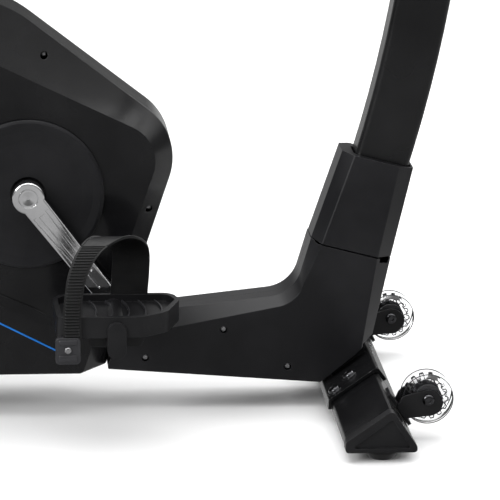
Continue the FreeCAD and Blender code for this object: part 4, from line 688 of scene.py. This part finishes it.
def console_face():
    """Display bezel, liquid-crystal digits and key marks; u runs across the face and v up it."""
    tilt = math.radians(-55.0)
    up = Vector((math.cos(tilt), 0, -math.sin(tilt)))
    out = Vector((math.sin(tilt), 0, math.cos(tilt)))
    across = Vector((0, -1, 0))
    middle = at(452, 0, 1246)

    def spot(u, v, level):
        return middle + across * u * MM + up * v * MM + out * level * MM

    ring = []
    outer, inner = (204, 100, 10), (190, 86, 6)
    levels = ((outer, 0.0), (outer, 1.4), ((202, 98, 9), 2.2), ((192, 88, 7), 2.0), (inner, 0.8),
              (inner, -0.8))
    for (wide, tall, radius), level in levels:
        ring.append(rounded_ring(spot(0, 26, level), across, up, wide * MM, tall * MM, radius * MM))
    verts, faces = loft_rings(ring, True)
    new_object("display_bezel", verts, faces, "dark_plastic", "frame")

    segments = {"a": (0, 1), "b": (1, 0.5), "c": (1, -0.5), "d": (0, -1), "e": (-1, -0.5), "f": (-1, 0.5),
                "g": (0, 0)}
    zero = "abcdef"
    ink = []

    def digit(u, v, size, lit):
        for key in lit:
            dx, dy = segments[key]
            flat = key in "adg"
            wide, tall = (size * 0.72, size * 0.16) if flat else (size * 0.16, size * 0.8)
            ink.append(slab(spot(u + dx * size * 0.47, v + dy * size * 0.94, -0.9), across, up, out,
                            wide * MM, tall * MM, 0.00025, 0.0003))

    for u in (-62, -48, -30, -16):
        digit(u, 44, 10, zero)
    for v in (41, 47):
        ink.append(slab(spot(-39, v, -0.9), across, up, out, 0.0022, 0.0022, 0.00025, 0.0006))
    for u in (20, 34, 48, 62):
        digit(u, 44, 10, zero)
    small_digits, small_pitch = 6, 28.8
    for i in range(small_digits):
        for shift in (-5, 5):
            digit(-72 + i * small_pitch + shift, 10, 6, zero)
    for i in range(16):
        tall = 3 + 8 * abs(math.sin(i * 0.55))
        ink.append(slab(spot(-75 + i * 10, -10 + tall / 2 - 2, -0.9), across, up, out, 0.006, tall * MM,
                        0.00025, 0.0005))
    new_object("display_segments", *merged(ink), "screen_glass", "frame", LCD_INK)

    for key, u, marks in (("button_down", 60, ((0, 0, 8, 1.8),)),
                          ("button_up", -60, ((0, 0, 8, 1.8), (0, 0, 1.8, 8))),
                          ("button_start", 0, ((-2.2, 0, 1.8, 7), (2.2, 0, 1.8, 7)))):
        parts = [slab(spot(u + du, -58 + dv, 2.35), across, up, out, w * MM, h * MM, 0.0005, 0.0005)
                 for du, dv, w, h in marks]
        new_object(key + "_mark", *merged(parts), "button_grey", key, PALE_MARK)


console_face()


# ---------------------------------------------------------------- cushions

def cushion_block(frame_axes, long, wide, thick, front, rear, round_top, round_bottom):
    """Closed rounded slab on a plan of its own corner radii; frame_axes = (origin, along, across, out)."""
    origin, along, across, out = frame_axes

    def plan(inset):
        ring = []
        for sx, sy, start, radius in ((1, 1, 0, front), (-1, 1, 90, rear), (-1, -1, 180, rear),
                                      (1, -1, 270, front)):
            for step in range(9):
                angle = math.radians(start + 90 * step / 8)
                x = sx * (long / 2 - radius) + (radius - inset) * math.cos(angle)
                y = sy * (wide / 2 - radius) + (radius - inset) * math.sin(angle)
                ring.append((x, y))
        return ring

    rings = []
    for radius, level, turn_up in ((round_bottom, 0.0, False), (round_top, thick, True)):
        steps = 4
        for step in range(steps + 1):
            angle = math.radians(90 * step / steps)
            if turn_up:
                inset, height = radius * (1 - math.cos(angle)), level - radius + radius * math.sin(angle)
            else:
                inset, height = radius * (1 - math.sin(angle)), radius * (1 - math.cos(angle))
            rings.append([origin + along * x * MM + across * y * MM + out * height * MM for x,
                          y in plan(inset)])
    return loft_rings(rings)


def inflate(obj, cap):
    """Remesh, puff up with cloth pressure and keep no point further than cap from where it began."""
    bpy.context.view_layer.objects.active = obj
    remesh = obj.modifiers.new("remesh", "REMESH")
    remesh.mode, remesh.voxel_size, remesh.use_smooth_shade = "VOXEL", 0.006, True
    bpy.ops.object.modifier_apply(modifier=remesh.name)
    start = [v.co.copy() for v in obj.data.vertices]
    cloth = obj.modifiers.new("cloth", "CLOTH")
    settings = cloth.settings
    settings.use_pressure, settings.uniform_pressure_force = True, 4.0
    settings.quality, settings.mass = 5, 0.3
    settings.tension_stiffness = settings.compression_stiffness = 15.0
    settings.bending_stiffness = 0.5
    settings.effector_weights.gravity = 0.0
    cloth.collision_settings.use_collision = False
    scene = bpy.context.scene
    for number in range(1, 21):
        scene.frame_set(number)
    solved = obj.evaluated_get(bpy.context.evaluated_depsgraph_get())
    final = [v.co.copy() for v in solved.data.vertices]
    obj.modifiers.remove(cloth)
    scene.frame_set(1)
    for vertex, first, last in zip(obj.data.vertices, start, final):
        move = last - first
        if move.length > cap:
            move *= cap / move.length
        vertex.co = first + move


def shape_cushion(obj, frame_axes, thick, dents, flat_base):
    """Crown, press and sew the cushion.

    dents(u, v) gives how far the upholstered face sinks, in millimetres.
    """
    origin, along, across, out = frame_axes
    for vertex in obj.data.vertices:
        local = vertex.co - origin
        u, v, w = local.dot(along) / MM, local.dot(across) / MM, local.dot(out) / MM
        face = max(0.0, min(1.0, (w - thick * 0.45) / (thick * 0.4)))
        shift = -dents(u, v) * face
        if w < flat_base:
            shift += (flat_base - w) * 0.9
        vertex.co += out * shift * MM


def subdivide_once(obj):
    bpy.context.view_layer.objects.active = obj
    smooth = obj.modifiers.new("smooth", "SUBSURF")
    smooth.levels = smooth.render_levels = 1
    bpy.ops.object.modifier_apply(modifier=smooth.name)
    for polygon in obj.data.polygons:
        polygon.use_smooth = True


def on_surface(obj, frame_axes, u, v):
    """Point and normal of the upholstered face above plan position (u, v)."""
    origin, along, across, out = frame_axes
    start = origin + along * u * MM + across * v * MM + out * 0.3
    found, point, normal, _ = obj.ray_cast(start, -out)
    return (point, normal) if found else (None, None)


def stitches(obj, frame_axes, runs, pitch=5.0):
    """Short thread capsules laid on the face along plan runs."""
    parts = []
    for run in runs:
        path = resampled([(u, v, 0.0) for u, v in run], pitch)
        for ((u, v, _), _), ((u2, v2, _), _) in zip(path, path[1:]):
            ahead = (Vector((u2 - u, v2 - v)) * 0.62)
            first, normal = on_surface(obj, frame_axes, u, v)
            last, _ = on_surface(obj, frame_axes, u + ahead.x, v + ahead.y)
            if first is None or last is None:
                continue
            way = (last - first).normalized()
            side = way.cross(normal).normalized()
            rings = []
            for t, size in ((0.0, 0.25), (0.2, 0.6), (0.8, 0.6), (1.0, 0.25)):
                mid = first.lerp(last, t) + normal * 0.0003
                rings.append([mid + (side * math.cos(a) + normal * math.sin(a)) * size * MM
                              for a in (2 * math.pi * k / 6 for k in range(6))])
            parts.append(loft_rings(rings))
    return merged(parts)


def piping(obj, frame_axes, level, reach, radius=2.2):
    """Welt cord round the cushion's side at a height over its base."""
    origin, along, across, out = frame_axes
    rings = []
    count = 180
    points = []
    for i in range(count):
        angle = 2 * math.pi * i / count
        way = along * math.cos(angle) + across * math.sin(angle)
        found, point, _, _ = obj.ray_cast(origin + out * level * MM + way * reach * MM, -way)
        points.append(point if found else origin + way * reach * MM)
    for _ in range(2):
        points = [(points[i - 1] + points[i] * 2 + points[(i + 1) % count]) / 4 for i in range(count)]
    for i in range(count):
        run = (points[(i + 1) % count] - points[i - 1]).normalized()
        side = run.cross(out).normalized()
        rings.append([points[i] + (side * math.cos(a) + out * math.sin(a)) * radius * MM
                      for a in (2 * math.pi * k / 8 for k in range(8))])
    return loft_rings(rings, True)


def groove(distance, half_width, depth):
    """Depth of a sewn channel at a distance from its line."""
    return depth * math.exp(-(distance / half_width) ** 2)


def rounded_plan_distance(u, v, long, wide, radius):
    """Distance from (u, v) to a rounded rectangle's outline, below zero inside it."""
    qx, qy = abs(u) - (long / 2 - radius), abs(v) - (wide / 2 - radius)
    outside = math.hypot(max(qx, 0.0), max(qy, 0.0))
    return outside + min(max(qx, qy), 0.0) - radius


def make_cushion(name, node, frame_axes, size, corners, rounds, dents, runs, level):
    long, wide, thick = size
    body = "seat"
    verts, faces = cushion_block(frame_axes, long, wide, thick, *corners, *rounds)
    obj = new_object(name, verts, faces, "upholstery", body, smooth=180)
    inflate(obj, 0.024)
    shape_cushion(obj, frame_axes, thick, dents, 1.5)
    subdivide_once(obj)
    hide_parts(node)
    bpy.context.view_layer.update()
    new_object(name + "_stitches", *stitches(obj, frame_axes, runs), "upholstery", body, THREAD)
    new_object(name + "_welt", *piping(obj, frame_axes, level, max(long, wide)), "upholstery", body)


def seat_dents(u, v):
    """Pressed panel inside a seam, two channels across the front and a shallow hollow for the rider."""
    rim = rounded_plan_distance(u + 6, v, 262, 300, 70)
    sink = groove(rim, 4.0, 4.5)
    pressed = 4.0 * math.exp(-((u + 25) / 120) ** 2)
    sink += pressed * (0.4 + 0.6 * min(1.0, abs(v) / 60)) * (1 if abs(v) < 150 else 0.5)
    if rim < 0:
        sink += groove(u - 52, 3.6, 3.6) + groove(u - 4, 3.6, 3.6) + groove(u + 44, 3.6, 3.6)
    return sink + 7.0 * max(0.0, (u - 110) / 80) ** 2


def back_dents(u, v):
    rim = rounded_plan_distance(u, v, 340, 292, 80)
    sink = groove(rim, 4.0, 4.5)
    sink += 5.0 * math.exp(-((v / 120) ** 2)) * math.exp(-((u + 40) / 190) ** 2)
    if rim < 0:
        sink += sum(groove(u - level, 3.6, 3.6) for level in (-96, -48, 0, 48, 96))
    return sink


def plan_outline(u0, long, wide, radius, steps=10):
    ring = []
    for sx, sy, start in ((1, 1, 0), (-1, 1, 90), (-1, -1, 180), (1, -1, 270)):
        for step in range(steps + 1):
            angle = math.radians(start + 90 * step / steps)
            ring.append((u0 + sx * (long / 2 - radius) + radius * math.cos(angle),
                         sy * (wide / 2 - radius) + radius * math.sin(angle)))
    return ring + ring[:1]


def channel_runs(levels, half, gap=3.2):
    return [[(level + side, -half), (level + side, half)] for level in levels for side in (-gap, gap)]


SEAT_AXES = (at(-660, 0, 527.0), Vector((1, 0, 0)), Vector((0, 1, 0)), Vector((0, 0, 1)))
LEAN = math.radians(17.0)
BACK_AXES = (at(-930.4, 0, 863), Vector((-math.sin(LEAN), 0, math.cos(LEAN))), Vector((0, 1, 0)),
             Vector((math.cos(LEAN), 0, math.sin(LEAN))))
make_cushion("seat_pad", "seat_cushion", SEAT_AXES, (366, 406, 64), (86, 56), (24, 10), seat_dents,
             [plan_outline(-6, 268, 306, 73)] + channel_runs((52, 4, -44), 138), 22)
make_cushion("back_pad", "backrest_cushion", BACK_AXES, (444, 394, 52), (90, 56), (20, 8), back_dents,
             [plan_outline(0, 346, 298, 83)] + channel_runs((-96, -48, 0, 48, 96), 134), 18)


# ---------------------------------------------------------------- stage, light and camera

def stage_floor():
    s = Shader("studio_floor")
    blotch = s.noise(0.8, 2.0)
    tone = s.blend(s.range(blotch, 0.3, 0.7, 0.0, 1.0), (0.9, 0.9, 0.9), (0.885, 0.885, 0.885))
    s.set(Specular_IOR_Level=0.1)
    material = s.finish(tone, 0.75, s.bump(s.noise(300.0), 0.00002, 0.2))
    reach = 60.0
    mesh = bpy.data.meshes.new("studio_floor")
    mesh.from_pydata([(-reach, -reach, 0), (reach, -reach, 0), (reach, reach, 0), (-reach, reach, 0)],
                     [], [(0, 1, 2, 3)])
    floor = bpy.data.objects.new("studio_floor", mesh)
    floor.location.z = -0.0004
    floor.visible_glossy = False
    mesh.materials.append(material)
    bpy.context.scene.collection.objects.link(floor)


def soft_light(name, spot, target, wide, tall, power):
    light = bpy.data.lights.new(name, "AREA")
    light.shape = "RECTANGLE"
    light.size, light.size_y, light.energy = wide, tall, power
    obj = bpy.data.objects.new(name, light)
    obj.location = spot
    obj.rotation_euler = (Vector(target) - Vector(spot)).to_track_quat("-Z", "Y").to_euler()
    bpy.context.scene.collection.objects.link(obj)
    obj.visible_camera = False


def studio_world():
    """White to the camera; as light, bright above, dim at the horizon, fair below, weaker towards -Y."""
    world = bpy.data.worlds.new("studio")
    bpy.context.scene.world = world
    world.use_nodes = True
    tree = world.node_tree
    tree.nodes.clear()
    out = tree.nodes.new("ShaderNodeOutputWorld")
    seen, felt = tree.nodes.new("ShaderNodeBackground"), tree.nodes.new("ShaderNodeBackground")
    seen.inputs["Color"].default_value = (1.0, 1.0, 1.0, 1.0)
    seen.inputs["Strength"].default_value = 1.0
    place, split = tree.nodes.new("ShaderNodeTexCoord"), tree.nodes.new("ShaderNodeSeparateXYZ")
    tree.links.new(place.outputs["Generated"], split.inputs[0])
    both = tree.nodes.new("ShaderNodeMath")
    both.operation = "MULTIPLY"
    for slot, axis, stops in ((0, "Y", ((0.0, 0.62), (0.12, 0.6), (0.34, 0.8), (0.55, 0.9), (1.0, 0.9))),
                              (1, "Z", ((0.0, 0.2), (0.3, 0.42), (0.455, 0.46), (0.5, 0.1), (0.62, 0.1),
                                        (0.78, 0.9), (1.0, 1.1)))):
        half = tree.nodes.new("ShaderNodeMath")
        half.operation = "MULTIPLY_ADD"
        half.inputs[1].default_value = 0.5
        half.inputs[2].default_value = 0.5
        tree.links.new(split.outputs[axis], half.inputs[0])
        ramp = tree.nodes.new("ShaderNodeValToRGB")
        tree.links.new(half.outputs[0], ramp.inputs[0])
        while len(ramp.color_ramp.elements) < len(stops):
            ramp.color_ramp.elements.new(0.5)
        for element, (spot, level) in zip(ramp.color_ramp.elements, stops):
            element.position = spot
            element.color = (level, level, level, 1.0)
        tree.links.new(ramp.outputs[0], both.inputs[slot])
    tree.links.new(both.outputs[0], felt.inputs["Color"])
    felt.inputs["Strength"].default_value = 1.5
    rays, mix = tree.nodes.new("ShaderNodeLightPath"), tree.nodes.new("ShaderNodeMixShader")
    tree.links.new(rays.outputs["Is Camera Ray"], mix.inputs[0])
    tree.links.new(felt.outputs[0], mix.inputs[1])
    tree.links.new(seen.outputs[0], mix.inputs[2])
    tree.links.new(mix.outputs[0], out.inputs[0])


def studio_camera():
    """The camera stands to the rider's right, level with the console and looking slightly down."""
    yaw, pitch, roll = (math.radians(a) for a in (5.1823, 15.3505, 0.7856))
    ahead = Vector((math.sin(yaw) * math.cos(pitch), math.cos(yaw) * math.cos(pitch), -math.sin(pitch)))
    right = Vector((math.cos(yaw), -math.sin(yaw), 0))
    up = right.cross(ahead)
    c, s = math.cos(roll), math.sin(roll)
    right, up = right * c + up * s, up * c - right * s
    camera = bpy.data.objects.new("camera", bpy.data.cameras.new("camera"))
    camera.data.lens, camera.data.sensor_width = 218.6, 36.0
    camera.data.clip_end = 200.0
    turned = Matrix((right, up, -ahead)).transposed().to_4x4()
    camera.matrix_world = Matrix.Translation(at(-54.0, -3704.5, 1216.7)) @ turned
    bpy.context.scene.collection.objects.link(camera)
    bpy.context.scene.camera = camera


stage_floor()
studio_world()
soft_light("overhead", (0.4, 0.3, 3.4), (0.2, 0.0, 0.4), 4.2, 3.6, 80.0)
soft_light("front_left", (-2.6, -2.6, 2.2), (0.2, 0.0, 0.5), 1.6, 1.6, 110.0)
soft_light("rear_right", (3.0, 2.4, 2.2), (0.3, 0.0, 0.5), 1.6, 1.6, 60.0)
studio_camera()
bpy.context.scene.view_settings.view_transform = "Standard"
bpy.context.scene.view_settings.look = "None"
